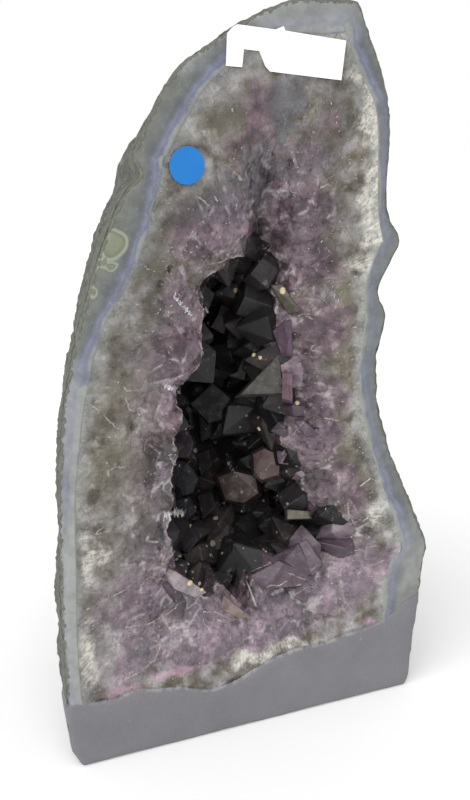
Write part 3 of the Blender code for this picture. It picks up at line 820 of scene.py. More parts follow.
def crust_material():
    """Quartz that turns to amethyst, stained by its layers, with streaks out from the agate,
    with painted shade in its groove, by its mouth and deep in its hollow, and painted glints.
    """
    material, shader, place = surface_material("quartz_and_amethyst")
    drawn = wandering(place, 7, 1.6)
    zone = layer_value(material, "zone")
    small = grain_value(place, 2.2)
    rough = plus(wavering(place, 10, -0.16, 0.16, 3, 0.5), between(small, 0.3, 0.7, -0.05, 0.05))

    def stain_and_shade(name, low, high, most):
        """The strength of a stain or a patch of painted shade, its edge broken up by soft noise."""
        return between(plus(layer_value(material, name), rough), low, high, 0, most)

    colour = colour_steps(
        grain_value(drawn, 10, 3, 0.5),
        [(0.34, paint(84, 77, 66)), (0.44, paint(105, 99, 90)), (0.52, paint(120, 116, 111)),
         (0.60, paint(131, 129, 127)), (0.68, paint(148, 147, 146))],
    )
    purple = colour_steps(
        grain_value(drawn, 9, 3, 0.5),
        [(0.32, paint(62, 48, 55)), (0.45, paint(88, 70, 78)), (0.56, paint(106, 88, 95)),
         (0.68, paint(134, 118, 122))],
    )
    lilac = colour_steps(
        grain_value(drawn, 13, 3, 0.5),
        [(0.32, paint(90, 81, 90)), (0.45, paint(110, 96, 106)), (0.56, paint(130, 113, 123)),
         (0.68, paint(152, 134, 142))],
    )
    colour = laid_over(colour, between(zone, 0.3, 0.85, 0, 0.6), paint(108, 95, 96))
    colour = laid_over(colour, between(zone, 0.0, 0.16, 0.9, 0), paint(140, 142, 138))
    colour = laid_over(colour, stain_and_shade("olive", 0.15, 0.75, 0.85), paint(92, 88, 72))
    colour = laid_over(colour, stain_and_shade("lilac", 0.15, 0.6, 0.95), lilac)
    beside_mouth = between(zone, 0.93, 1.02, 0, 0.75)
    inner = arithmetic("MAXIMUM", stain_and_shade("mauve", 0.15, 0.6, 1.0), beside_mouth)
    colour = laid_over(colour, inner, purple)
    for name, low, high, most, tint in STAIN_AND_SHADE_PAINTS:
        colour = laid_over(colour, stain_and_shade(name, low, high, most), tint)

    glassy = between(zone, 0.25, 0.75)
    facet = layer_value(material, "tone")
    light_facets = times(between(facet, 0.55, 0.9, 0, 0.4), glassy)
    dark_facets = times(between(facet, 0.1, 0.4, 0.35, 0), glassy)
    colour = laid_over(colour, light_facets, paint(146, 128, 141))
    colour = laid_over(colour, dark_facets, paint(92, 84, 93))
    icy = between(grain_value(place, 14), 0.42, 0.6)
    crushed = add_node("Mix", i0=icy, i2=1.0, i3=chip_tone(drawn, 1.6, 0.9, 1.12)).outputs[0]
    tone = times(between(layer_value(material, "fine_tone"), 0, 1, 0.87, 1.13), crushed)
    tone = times(tone, between(small, 0.3, 0.7, 0.96, 1.04))
    tone = times(tone, chip_tone(drawn, 6, 0.86, 1.14))
    tone = times(tone, between(grain_value(drawn, 20, 2, 0.5), 0.34, 0.66, 0.78, 1.2))
    colour = toned(colour, tone)

    along, inwards = layer_value(material, "along"), layer_value(material, "inwards")
    from_agate = add_node("CombineXYZ", X=along, Y=inwards).outputs[0]

    def streaks(scale, detail):
        """Noise that is drawn out away from the agate."""
        made = add_node("TexNoise", Vector=from_agate, Scale=scale, Detail=detail, Roughness=0.7)
        return made.outputs["Fac"]

    rays = streaks(1.0, 4)
    chalk = between(plus(rays, grain_value(drawn, 4, 5, 0.7)), 0.84, 1.14, 0.2, 1)
    chalk = times(stain_and_shade("cream", 0.15, 0.7, 1.0), chalk)
    colour = laid_over(colour, chalk, paint(206, 203, 192))
    # Painted shade in the pits of the chalky rim: dark specks over the cream.
    pits = between(grain_value(drawn, 2.4, 4, 0.7), 0.58, 0.68, 0, 0.8)
    colour = laid_over(colour, times(pits, stain_and_shade("cream", 0.4, 0.9, 1.0)), paint(70, 68, 64))
    rays = times(between(rays, 0.62, 0.7, 0, 0.5), between(zone, 0.15, 0.7, 1, 0.12))
    colour = laid_over(colour, rays, paint(184, 181, 172))
    colour = toned(colour, between(streaks(0.7, 3), 0.3, 0.7, 0.93, 1.07))

    lines = between(layer_value(material, "ridge"), 0.35, 0.95)
    lines = times(times(lines, between(grain_value(place, 9), 0.46, 0.58, 0, 0.7)), glassy)
    rim = times(layer_value(material, "rim"), between(grain_value(place, 6), 0.45, 0.6, 0.0, 0.8))
    colour = laid_over(colour, arithmetic("MAXIMUM", lines, rim), paint(186, 179, 180))
    veins = times(
        vein_lines(drawn, 14, 0.02), between(grain_value(drawn, 13), 0.50, 0.60, 0, 0.4)
    )
    colour = laid_over(colour, veins, paint(52, 46, 52))
    # Painted glints: near-white specks in a few clusters, standing for light that glints off tiny
    # facets.
    painted_glints = times(
        between(grain_value(drawn, 1.3, 2), 0.70, 0.75),
        between(grain_value(place, 10, 4, 0.7), 0.5, 0.62, 0, 0.8),
    )
    colour = laid_over(colour, painted_glints, paint(205, 203, 198))
    # Painted shade of the hollow: its wall darkens to an eighth of its colour 50 mm behind the saw
    # cut.
    colour = painted_shade_inwards(colour, place, 0.05, 0.12)

    chips = plus(chip_height(drawn, 6.5), times(chip_height(drawn, 2.4), 0.8))
    normal = relief_bump(times(between(glassy, 0, 1, 0.4, 0.8), chips), 1.0)
    set_inputs(
        shader, Base_Color=colour, Roughness=between(small, 0.35, 0.65, 0.22, 0.5), IOR=1.54,
        Normal=relief_bump(grain_value(place, 2.0), 0.0002, Normal=normal),
    )
    return material


def crystal_piece(name, bm, material, **shading):
    """A piece that stands for the solid of the crystal crust, with others."""
    piece = finished_piece(name, bm, material, "amethyst_crust", **shading)
    return piece


def crystal_crust():
    """The crust's mesh: its socket, the broken face, then the wall of the hollow."""
    socket_edge = offset_loop(EDGE, [-GAP] * CRUST_AROUND)

    def socket_row(turn):
        depth = POD_DEPTH - SHELL_BACK - GAP
        return lambda i: (dome_point(socket_edge[i], depth, turn, SOCKET_FULLNESS), {"zone": 0.0})

    def face_row(share):
        def point(i):
            place = EDGE[i].lerp(MOUTH[i], share)
            y, looks = face_relief(*place, share)
            y = 0.3 + (y - 0.3) * min(1.0, share * 12)
            values = stain_and_shade_values(
                STAINS_AND_SHADES, *place, zone=share, along=i * EDGE_STEP / STREAK_WIDTH,
                inwards=(place - EDGE[i]).length / STREAK_LENGTH,
                rim=max(0.0, 1 - (place - MOUTH[i]).length / RIM_WIDTH),
            )
            return Vector((place.x, y, place.y)), values | looks

        return point

    def lining_row(turn):
        def point(i):
            place = lining_place(MOUTH[i], turn)
            lump = noise.noise_vector(place / WALL_LUMPS[1]) * WALL_LUMPS[0]
            place += lump * min(1.0, turn * 6, (1 - turn) * 8)
            values = stain_and_shade_values(
                STAINS_AND_SHADES, *MOUTH[i], zone=1 + turn * 2, along=i * EDGE_STEP / STREAK_WIDTH,
                inwards=8 + turn * 12, rim=max(0.0, 1 - turn * 60), tone=0.5, fine_tone=0.5,
            )
            return place, values

        return point

    rows = [socket_row(1 - row / CRUST_SOCKET_ROWS) for row in range(CRUST_SOCKET_ROWS)]
    rows += [face_row(1 - (1 - row / FACE_ROWS) ** 1.2) for row in range(FACE_ROWS)]
    rows += [lining_row((row / LINING_ROWS) ** 1.5) for row in range(LINING_ROWS + 1)]
    bm = ringed_mesh(rows, CRUST_AROUND)
    return crystal_piece("crystal_crust", bm, crust_material(), sharp=38)


crust = crystal_crust()

# The hollow is lined with amethyst points: six-sided crystals grown from the wall towards the
# open middle. Those by the mouth are milky mauve blocks, some cut by the saw, and those deep
# in the hollow are painted nearly black, as painted shade of the hollow.
CRYSTAL_TRIES = 6000
MOUTH_SPACING, MOUTH_RADIUS = 13, (10, 17)
DEEP_SPACING, DEEP_RADIUS = 13, (9, 18)
LIP_TOP, CEILING = 112, 235  # heights above which the left rim and the whole rim bear none
NOTCH_LEFT, NOTCH_RIGHT, NOTCH_TOP = -40, 4, 102  # nor does the notch in the lower rim
MOUTH_REACH = 24  # crystals rooted nearer to the saw cut than this are the milky ones
LINING_STRETCH = 60000  # mm2 of lining for a full turn round it and a full way in, where widest
SAWN_AT = 0.5  # no crystal stands out in front of this y
CRYSTAL_FOOT = 0.93  # width of a crystal at its root, as a share of that at its shoulder
TIP_HEIGHT, SHOULDER_STEP, CRYSTAL_EDGE = 2.1, 0.16, 0.035  # in radii, as are the next two
TIP_LEAN, SHOULDER_SLANT = 0.45, 0.3
CRYSTAL_LEAN = 0.4  # how far its axis may lean off the wall's normal
CRYSTAL_ROOT = 0.8  # how deep it stands in the wall, in radii
QUARTZ_IOR = 1.544
LIGHTER_FROM = 0.235, 0.265  # metres above the floor between which the crystals grow lighter


def crystal_template():
    """One crystal of unit radius and prism length, standing on the origin, as a mesh."""
    bm = bmesh.new()
    bmesh.ops.create_cone(bm, cap_ends=True, segments=6, radius1=CRYSTAL_FOOT, radius2=1, depth=1)
    bmesh.ops.translate(bm, vec=(0, 0, 0.5), verts=bm.verts)
    top = max(bm.faces, key=lambda face: face.calc_center_median().z)
    for number, corner in enumerate(top.verts):
        corner.co.z += SHOULDER_STEP * (-1) ** number
    point = bmesh.ops.poke(bm, faces=[top])["verts"][0]
    point.co.z = TIP_HEIGHT
    edges = [edge for edge in bm.edges if max(vert.co.z for vert in edge.verts) > 0.5]
    bmesh.ops.bevel(
        bm, geom=edges, offset=CRYSTAL_EDGE, segments=1, profile=0.5, affect="EDGES", material=-1
    )
    return mesh_of("crystal_template", bm)


def turned_to(direction):
    """The turn that takes the upward axis to that direction."""
    return direction.to_track_quat("Z", "Y").to_matrix().to_4x4()


def grow_crystal(bm, template, root, axis, radius, prism, rng):
    """Adds one crystal: its tip off the middle, and wider one way than the other."""
    known = len(bm.verts)
    bm.from_mesh(template)
    bm.verts.ensure_lookup_table()
    tone_layer = bm.verts.layers.float["tone"]
    verts = bm.verts[known:]
    tone = rng.random()
    lean = Vector((rng.uniform(-TIP_LEAN, TIP_LEAN), rng.uniform(-TIP_LEAN, TIP_LEAN)))
    slant = Vector([rng.uniform(-SHOULDER_SLANT, SHOULDER_SLANT) for _ in range(2)])
    for vert in verts:
        vert[tone_layer] = tone
        if vert.co.z > 0.5:
            high = vert.co.z - 1
            vert.co.x += lean.x * max(0.0, high)
            vert.co.y += lean.y * max(0.0, high)
            vert.co.z = prism / radius + high + slant.dot(vert.co.xy)
    spin = Matrix.Rotation(rng.uniform(0, math.tau), 4, "Z")
    size = Matrix.Diagonal((radius, radius * rng.uniform(0.7, 1.0), radius, 1))
    place = Matrix.Translation(root) @ turned_to(axis) @ spin @ size
    bmesh.ops.transform(bm, matrix=place, verts=verts)


def lining_sites(rng, tries):
    """Random places on the hollow's wall, even by area: point, direction inwards, turn."""
    sites = []
    step = 0.004
    for _ in range(tries):
        i, turn = rng.randrange(CRUST_AROUND), rng.uniform(0.0, 0.97)
        point = lining_place(MOUTH[i], turn)
        along = (lining_place(MOUTH[(i + 4) % CRUST_AROUND], turn) - point) * CRUST_AROUND / 4
        inwards = (lining_place(MOUTH[i], turn + step) - point) / step
        normal = along.cross(inwards)
        if normal.length < rng.random() * LINING_STRETCH:
            continue
        normal.normalize()
        into = Vector((HOLLOW_CENTRE.x, HOLLOW_DEPTH * 0.25, HOLLOW_CENTRE.y)) - point
        sites.append((point, normal if normal.dot(into) > 0 else -normal, turn))
    return sites


def spaced(sites, spacing):
    """The sites that keep the spacing from those already taken."""
    taken, grid = [], {}
    for site in sites:
        cell = tuple(int(c // spacing) for c in site[0])
        near = (
            other
            for dx in (-1, 0, 1) for dy in (-1, 0, 1) for dz in (-1, 0, 1)
            for other in grid.get((cell[0] + dx, cell[1] + dy, cell[2] + dz), ())
        )
        if all((other - site[0]).length > spacing for other in near):
            grid.setdefault(cell, []).append(site[0])
            taken.append(site)
    return taken


def crystal_material(name, colours, deepest_shade, transmission, tint, density, roughness, gleam):
    """Purple glass with cloudy zones, a tone of its own for each crystal, and painted shade deep in.
    """
    material, shader, place = surface_material(name)
    cloud = grain_value(place, 9, 5)
    tone = plus(between(layer_value(material, "tone"), 0, 1, -0.22, 0.22), cloud)
    colour = toned(colour_steps(tone, colours), wavering(place, 1.8, 0.85, 1.18, 5, 0.7))
    hair = times(vein_lines(place, 8, 0.012), between(cloud, 0.5, 0.64, 0, 0.35))
    pale = Vector(colours[-1][1]).lerp(Vector(paint(200, 195, 198)), 0.55)
    colour = laid_over(colour, hair, pale)
    height = add_node("SeparateXYZ", Vector=place).outputs["Z"]
    colour = toned(colour, between(height, *LIGHTER_FROM, 1.0, 1.5))
    # Painted shade of the hollow: the crystals darken deeper in.
    colour = painted_shade_inwards(colour, place, 0.045, deepest_shade)
    set_inputs(
        shader, Base_Color=colour, Roughness=roughness, IOR=QUARTZ_IOR, Specular_IOR_Level=gleam,
        Transmission_Weight=transmission,
        Normal=relief_bump(times(chip_height(place, 5.5), 0.08), 1.0),
    )
    nodes = material.node_tree.nodes
    absorb = set_inputs(nodes.new("ShaderNodeVolumeAbsorption"), Color=tint, Density=density)
    set_inputs(nodes["Material Output"], Volume=absorb.outputs[0])
    return material


def hollow_crystals(name, seed, spacing, radii, near, material):
    """The crystals of one depth of the hollow, as one mesh."""
    rng = random.Random(seed)
    template = crystal_template()
    bm = bmesh.new()
    bm.verts.layers.float.new("tone")
    sites = [site for site in lining_sites(rng, CRYSTAL_TRIES) if (site[0].y < MOUTH_REACH) == near]
    for point, normal, turn in spaced(sites, spacing):
        radius = rng.uniform(*radii)
        lean = Vector([rng.uniform(-1, 1) for _ in range(3)]) * CRYSTAL_LEAN
        if near:
            by_notch = point.z < NOTCH_TOP and NOTCH_LEFT < point.x < NOTCH_RIGHT
            if point.z > LIP_TOP and point.x < -2 or point.z > CEILING or by_notch:
                continue
            radius *= ramp(turn, -0.2, 0.1) * (1 if point.z < LIP_TOP else 0.6)
            lean.y += 0.3
        axis = (normal + lean).normalized()
        prism = radius * rng.uniform(0.5, 1.1)
        grow_crystal(bm, template, point - axis * radius * CRYSTAL_ROOT, axis, radius, prism, rng)
    cut_off(bm, (0, SAWN_AT, 0), (0, -1, 0))
    return crystal_piece(name, bm, material, smooth=False)


mouth_crystals = hollow_crystals(
    "mouth_crystals", 21, MOUTH_SPACING, MOUTH_RADIUS, True,
    crystal_material(
        "milky_amethyst",
        [(0.22, paint(70, 58, 68)), (0.42, paint(90, 75, 86)), (0.58, paint(106, 91, 101)),
         (0.80, paint(136, 122, 130))],
        0.45, 0.2, (0.72, 0.58, 0.76, 1), 25.0, 0.28, 0.4,
    ),
)
# The deep crystals are painted near-black to dark grey, as painted shade of the deep hollow.
deep_crystals = hollow_crystals(
    "deep_crystals", 22, DEEP_SPACING, DEEP_RADIUS, False,
    crystal_material(
        "amethyst_in_painted_shade",
        [(0.22, paint(32, 31, 32)), (0.42, paint(38, 36, 37)), (0.58, paint(45, 42, 42)),
         (0.80, paint(58, 53, 51))],
        0.95, 0.0, (0.6, 0.5, 0.62, 1), 20.0, 0.42, 0.25,
    ),
)

# Some crystals of the hollow stand out from the rest: broken blocks of amethyst on its lower
# lip, pink and brown ones on its right wall, and grey ones at its left and in the dark, painted
# in greys that stand for the soft light their facets reflect, fading to painted shade towards
# the black. Each grew from the wall behind it. Its corners are given as the camera sees them.
STANDING_CRYSTALS = [  # colour, how far it stands out, corners: x, height, how much nearer
    ((82, 80, 76), 5, [(-10.5, 206.5, 0), (13, 227, 5), (15.5, 204, 1)]),
    ((62, 62, 61), 4, [(-39.5, 205, 0), (-26.5, 215, 3), (-6.5, 196, 3), (-29, 193, 0)]),
    ((66, 65, 62), 3, [(-17, 218, 0), (-6.5, 221.5, 1), (-8, 214.5, 2)]),
    ((90, 74, 72), 6, [
        (-2.5, 171, 0), (4, 173.5, 2), (14, 168.5, 3), (13.5, 156.5, 2), (3, 155, 0), (-1.5, 160, 0),
    ]),
    ((72, 60, 57), 6, [
        (-24, 161, 0), (-14, 163, 2), (-1, 158, 2), (1, 147.5, 3), (-8, 143, 1), (-19.5, 147, 0),
    ]),
    ((104, 98, 85), 5, [(19, 134.5, 0), (33, 131, 1), (34, 126.5, 2), (19.5, 128.5, 1)]),
    ((124, 102, 110), 5, [(15, 216, 0), (21, 215.5, 2), (21, 199, 3), (15, 201, 1)]),
    ((96, 82, 94), 4, [(23, 187, 0), (28.5, 187, 1), (37.5, 177.5, 3), (30, 177, 2)]),
    ((88, 84, 74), 5, [(7.5, 265, 0), (14.5, 265, 1), (25, 250, 3), (18, 249, 1)]),
    ((94, 78, 90), 5, [(9, 240, 0), (15.5, 244.5, 2), (20, 244.5, 3), (20.5, 226, 3), (14, 227, 1)]),
    ((96, 81, 91), 6, [
        (-4, 97.5, 1), (14.5, 103.5, 3), (30.5, 91, 5), (28, 86, 5), (19, 88.5, 4), (4, 87.5, 1),
    ]),
    ((88, 75, 85), 3, [
        (7.5, 106, 0), (27, 112, 0), (36.5, 91.5, 4), (30.5, 92.5, 4), (18, 103.5, 2),
    ]),
    ((112, 97, 106), 3, [(27, 112.5, 0), (32.5, 113.5, 0), (42, 97, 3), (36, 91.5, 4)]),
    ((138, 120, 114), 4, [(-25, 82, 0), (-20, 88.5, 0), (-4.5, 71.5, 4), (-13, 74, 3)]),
    ((150, 139, 142), 4, [
        (-57, 114, 0), (-49.5, 109.5, 1), (-34, 94.5, 4), (-39.5, 93, 4), (-50.5, 99, 2),
        (-54.5, 105, 0),
    ]),
    ((182, 177, 176), 3, [(-7, 96.5, 0), (-5.5, 92, 1), (-1, 78.5, 3), (0, 78.5, 3), (-3.5, 89, 1)]),
    ((84, 83, 87), 4, [(-50, 169, 0), (-42, 172, 3), (-36, 162, 4), (-39, 154, 2), (-48, 153, 0)]),
    ((66, 65, 70), 4, [(-50, 151, 0), (-41, 152, 2), (-37, 143, 4), (-45, 137, 2)]),
    ((70, 66, 72), 4, [(-50, 133, 0), (-41, 136, 2), (-36, 126, 4), (-42, 119, 3), (-49, 123, 0)]),
    ((92, 84, 92), 4, [(-50, 189, 0), (-43, 193, 3), (-38, 183, 4), (-41, 175, 2), (-48, 176, 0)]),
    ((52, 51, 53), 4, [(-37, 176, 0), (-29, 178, 3), (-27, 168, 4), (-34, 164, 2)]),
    ((50, 48, 50), 4, [(-36, 152, 0), (-28, 153, 2), (-25, 144, 4), (-33, 138, 3)]),
]
BLOCK_ROOT, BLOCK_TAPER, BLOCK_EDGE, BLOCK_TILT = 16, -0.25, 0.3, 2.2
BLOCKS_SAWN_AT, BLOCK_STEP = 0.47, 0.004  # the first one's cut, and how much nearer the next is


def back_to_drawing(bm):
    """Takes a mesh from the frame's metres to the drawing's millimetres."""
    bmesh.ops.translate(bm, vec=-ORIGIN, verts=bm.verts)
    bmesh.ops.scale(bm, vec=(1 / MM, 1 / MM, 1 / MM), verts=bm.verts)


def surfaces_of(*pieces):
    """A search tree of the pieces' faces, in millimetres from the drawing's origin."""
    bm = bmesh.new()
    for piece in pieces:
        bm.from_mesh(piece.data)
    back_to_drawing(bm)
    tree = BVHTree.FromBMesh(bm)
    bm.free()
    return tree


def sight_to(x, z):
    """The camera's line of sight through that place on the saw cut."""
    return (Vector((x, 0, z)) - CAMERA_PLACE).normalized()


def seen_surface(tree, x, z):
    """What the line of sight through that place on the saw cut meets: its point and normal."""
    return tree.ray_cast(CAMERA_PLACE, sight_to(x, z))[:2]


def standing_block(tree, stand, corners):
    """One broken crystal: the hull of the facet that is seen and of its root in the wall."""
    middle = sum((Vector((x, 0, z)) for x, z, _ in corners), Vector()) / len(corners)
    wall = seen_surface(tree, middle.x, middle.z)[0]
    reach = (wall - CAMERA_PLACE).length - stand
    front = [
        CAMERA_PLACE + sight_to(x, z) * (reach - nearer * BLOCK_TILT) for x, z, nearer in corners
    ]
    centre = sum(front, Vector()) / len(front)
    root = sight_to(middle.x, middle.z) * BLOCK_ROOT
    back = [place.lerp(centre, BLOCK_TAPER) + root for place in front]
    bm = bmesh.new()
    verts = [bm.verts.new(place) for place in front + back]
    hull = bmesh.ops.convex_hull(bm, input=verts)
    spare = {part for part in hull["geom_interior"] if isinstance(part, bmesh.types.BMVert)}
    bmesh.ops.delete(bm, geom=list(spare), context="VERTS")
    bmesh.ops.dissolve_limit(bm, angle_limit=math.radians(4), verts=bm.verts, edges=bm.edges)
    bmesh.ops.bevel(
        bm, geom=bm.edges[:], offset=BLOCK_EDGE, segments=1, profile=0.5, affect="EDGES", material=-1
    )
    return bm


def standing_material():
    """Amethyst in each block's own tint, clouded and with pale healed cracks."""
    material, shader, place = surface_material("broken_amethyst")
    cloud = grain_value(place, 5, 5, 0.65)
    colour = toned(layer_value(material, "tint", "Color"), between(cloud, 0.3, 0.7, 0.55, 1.0))
    hair = times(vein_lines(place, 6, 0.012), between(cloud, 0.45, 0.6, 0, 0.3))
    set_inputs(
        shader, Base_Color=laid_over(colour, hair, paint(170, 160, 165)), Roughness=0.32,
        IOR=QUARTZ_IOR, Specular_IOR_Level=0.35,
        Normal=relief_bump(times(chip_height(place, 4.5), 0.1), 1.0),
    )
    return material


def standing_crystals(tree):
    """All blocks as one mesh, each cut at the saw cut in a plane of its own."""
    bm = bmesh.new()
    for number, (colour, stand, corners) in enumerate(STANDING_CRYSTALS):
        block = standing_block(tree, stand, corners)
        cut_off(block, (0, BLOCKS_SAWN_AT - BLOCK_STEP * number, 0), (0, -1, 0))
        tint = block.verts.layers.float_color.new("tint")
        for vert in block.verts:
            vert[tint] = paint(*colour)
        mesh = mesh_of("block", block)
        bm.from_mesh(mesh)
        bpy.data.meshes.remove(mesh)
    bmesh.ops.recalc_face_normals(bm, faces=bm.faces)
    return crystal_piece("standing_crystals", bm, standing_material(), smooth=False)


wall = surfaces_of(crust, mouth_crystals, deep_crystals)
blocks = standing_crystals(wall)

# Healed cracks and broken edges show on the sawn crust as thin pale seams of quartz, which
# break off and start again.
PALE_SEAMS = [  # width, then x and height along the seam
    (0.9, [(-35.5, 348), (-31, 346), (-28.5, 343)]),
    (1.5, [(-17, 328), (-13, 325), (-9, 320.5)]),
    (0.8, [(-31.5, 321), (-25.5, 319)]),
    (0.9, [(-32.5, 314.5), (-28.5, 318), (-22.5, 310.5)]),
    (0.8, [(-39.5, 318.5), (-33, 313.5), (-25.5, 307.5)]),
    (0.7, [(14.5, 322), (17, 315), (22.5, 312.5)]),
    (1.0, [(36, 315), (40.5, 317), (47, 314)]),
    (1.0, [(40.5, 319.5), (45.5, 322.5)]),
    (0.5, [(-30.5, 279), (-21, 280), (-15.5, 282.5), (-12, 287)]),
    (0.5, [(28.5, 259), (37.5, 256), (44.5, 250)]),
    (0.6, [(23, 247), (26.5, 247.5), (35, 243.5)]),
    (0.9, [(32, 188), (40.5, 186.5), (52.5, 183)]),
    (0.7, [(15, 166.5), (18.5, 174), (24.5, 182), (30, 186.5)]),
    (0.8, [(34.5, 230), (32.5, 227), (39.5, 224)]),
    (0.7, [(63.5, 189.5), (68.5, 195.5), (78, 197.5)]),
    (0.9, [(-103.5, 216.5), (-96, 212.5), (-91, 208.5), (-85.5, 202.5), (-79, 195)]),
    (0.9, [(-79.5, 221.5), (-74.5, 216.5), (-66, 216)]),
    (0.9, [(-75.5, 213), (-73.5, 206.5), (-67, 202)]),
    (0.8, [(-86.5, 170.5), (-86.5, 174), (-82.5, 176), (-77, 174.5)]),
    (0.8, [(-95, 139.5), (-90.5, 143), (-84.5, 148), (-78, 148), (-71.5, 145.5)]),
    (0.8, [(-95, 139.5), (-88, 140), (-83, 139), (-79.5, 141.5)]),
    (0.6, [(-91.5, 100), (-79.5, 104), (-70.5, 109), (-63.5, 108.5), (-56, 105.5), (-48.5, 101)]),
    (0.5, [(-46.5, 90.5), (-53.5, 85), (-65.5, 80.5), (-80.5, 81.5)]),
    (0.6, [(-33.5, 81), (-26, 79.5), (-18, 74), (-10.5, 71), (-4, 71)]),
    (0.5, [(-4, 100), (4.5, 102), (14.5, 103.5)]),
    (0.6, [(20, 95), (25.5, 91.5), (31.5, 88), (36, 93.5), (41.5, 97), (55, 95), (63, 92)]),
    (0.6, [(3.5, 86), (8.5, 89), (15, 87.5), (19.5, 89.5), (23.5, 85), (30, 85.5)]),
    (0.5, [(63, 94.5), (63.5, 100.5), (69.5, 100.5), (74, 95)]),
    (0.5, [(71.5, 100.5), (78.5, 101), (85.5, 98), (90.5, 98.5)]),
    (0.7, [(66.5, 84.5), (75.5, 88), (86, 90), (96.5, 97), (105, 98.5)]),
    (0.7, [(74, 145), (63.5, 139), (59, 132.5), (60, 124), (65, 116)]),
    (1.2, [(66.5, 116.5), (75.5, 122)]),
    (0.8, [(-92, 266.5), (-88, 264), (-83.5, 262)]),
    (0.5, [(-59.5, 65.5), (-63, 57.5), (-72, 52), (-85, 48.5)]),
    (0.5, [(-33, 81), (-33.5, 74.5), (-26, 64), (-23, 56.5)]),
    (0.8, [(-34, 238), (-32, 232.5), (-33.5, 227.5), (-35.5, 224), (-39.5, 221)]),
    (1.4, [(-33.5, 266), (-32, 260.5)]),
    (1.2, [(-30.5, 257), (-29, 252)]),
    (1.1, [(-29, 249.5), (-29, 245.5)]),
]
SEAM_SEED, SEAM_STEP, SEAM_WANDER = 31, 0.8, 0.3
SEAM_SUNK = 0.22  # how far a seam's middle lies under the surface, as a share of its width
SEAM_SWELL, SEAM_BREAKS = 2.0, 4.5  # how much it may widen, and over what length it breaks off
SEAM_END = 1.5  # steps over which a seam's end comes to a point


def seam_places(tree, corners, width, rng):
    """Close steps along a seam, each on what the camera sees there, with small wanderings."""
    places = []
    for (x, z), (next_x, next_z) in zip(corners, corners[1:]):
        length = math.hypot(next_x - x, next_z - z)
        steps = max(2, round(length / SEAM_STEP))
        for k in range(steps):
            at = Vector((x, 0, z)).lerp(Vector((next_x, 0, next_z)), k / steps)
            at.x += rng.uniform(-SEAM_WANDER, SEAM_WANDER)
            at.z += rng.uniform(-SEAM_WANDER, SEAM_WANDER)
            place, normal = seen_surface(tree, at.x, at.z)
            if place:
                places.append(place - normal * SEAM_SUNK * width)
    return places


def seam_material():
    """Whitish quartz, beige at some places."""
    material, shader, place = surface_material("pale_quartz_seams")
    colour = colour_steps(
        grain_value(place, 5, 4, 0.7),
        [(0.35, paint(130, 120, 117)), (0.5, paint(150, 141, 136)), (0.65, paint(186, 178, 168))],
    )
    normal = relief_bump(grain_value(place, 0.8), 0.0003)
    set_inputs(shader, Base_Color=colour, Roughness=0.35, Normal=normal)
    return material


def evaluated_bmesh(holder):
    """The mesh that an object's curve or modifiers make; the object itself is removed."""
    graph = bpy.context.evaluated_depsgraph_get()
    bm = bmesh.new()
    bm.from_mesh(bpy.data.meshes.new_from_object(holder.evaluated_get(graph)))
    bpy.data.objects.remove(holder)
    return bm


def pale_seams(tree):
    """All seams as one mesh, made from a curve whose thickness changes along each of them."""
    rng = random.Random(SEAM_SEED)
    curve = bpy.data.curves.new("pale_seams", "CURVE")
    curve.dimensions = "3D"
    curve.bevel_depth = 0.5
    curve.bevel_resolution = 0
    curve.use_fill_caps = True
    for width, corners in PALE_SEAMS:
        places = seam_places(tree, corners, width, rng)
        if len(places) < 2:
            continue
        spline = curve.splines.new("POLY")
        spline.points.add(len(places) - 1)
        for k, (point, place) in enumerate(zip(spline.points, places)):
            end = min(1.0, (k + 0.3) / SEAM_END, (len(places) - k - 0.7) / SEAM_END)
            point.co = (*place, 1)
            swell = 0.75 + 1.5 * noise.noise(place / SEAM_BREAKS)
            point.radius = width * SEAM_SWELL * min(end, max(0.08, swell)) * rng.uniform(0.6, 1.0)
    bm = evaluated_bmesh(added_object("pale_seams", curve))
    bmesh.ops.recalc_face_normals(bm, faces=bm.faces)
    crystal_piece("pale_seams", bm, seam_material(), smooth=False)


all_crystals = surfaces_of(crust, mouth_crystals, deep_crystals, blocks)
pale_seams(all_crystals)

# Crumbs lie on the crystals: cream and beige grains of calcite in the hollow, bright combs of
# fibrous quartz at its left, and splinters and shards of quartz that broke off as the stone was
# sawn, scattered over its face.
CREAM_GRAINS = [  # x, height, radius
    (-13, 264, 1.7), (14.5, 261.5, 2.0), (21, 259.5, 1.0), (-2.5, 228, 1.3), (1.5, 226, 1.4),
    (1, 185.5, 1.7), (24.5, 197.5, 1.4), (-35.5, 99, 1.5), (-41, 100.5, 1.6), (-34, 95, 1.2),
]
BEIGE_GRAINS = [
    (-49, 181, 1.7), (-37, 178.5, 1.7), (-25.5, 137, 2.1), (-37.5, 145.5, 1.3), (-27, 122, 2.2),
    (-40.5, 135, 1.1), (-43, 150.5, 1.3), (-21.5, 115, 1.1), (-6, 97, 1.3), (-8, 93, 1.4),
    (-57, 115, 1.8), (-53, 120, 1.2), (-49, 116.5, 1.2), (-46, 112, 1.2), (-43.5, 108, 1.3),
    (-50.5, 121.5, 1.0), (-47, 118, 1.0), (-42, 112.5, 1.0), (-39.5, 107, 1.1), (-56, 125, 0.9),
]
COMBS = [  # x and height of both ends, length of the fibres
    ((-47.5, 264), (-38.5, 253.5), 2.6), ((-54, 217.5), (-44.5, 211.5), 3.0),
    ((-55, 144), (-43, 142), 8), ((-52, 179), (-49, 172), 1.8), ((-18, 169), (-14, 163), 2.2),
]
LOOSE_GRAINS, SPLINTERS, SHARDS = 45, 420, 360
GRAIN_SEED, SPLINTER_SEED, SHARD_SEED = 41, 51, 61
GRAIN_HEIGHT = 0.5  # of a grain, as a share of its breadth
LOOSE_ACROSS, LOOSE_UP, LOOSE_RADIUS = (-52, 25), (100, 200), (0.4, 1.1)  # x, height, radius
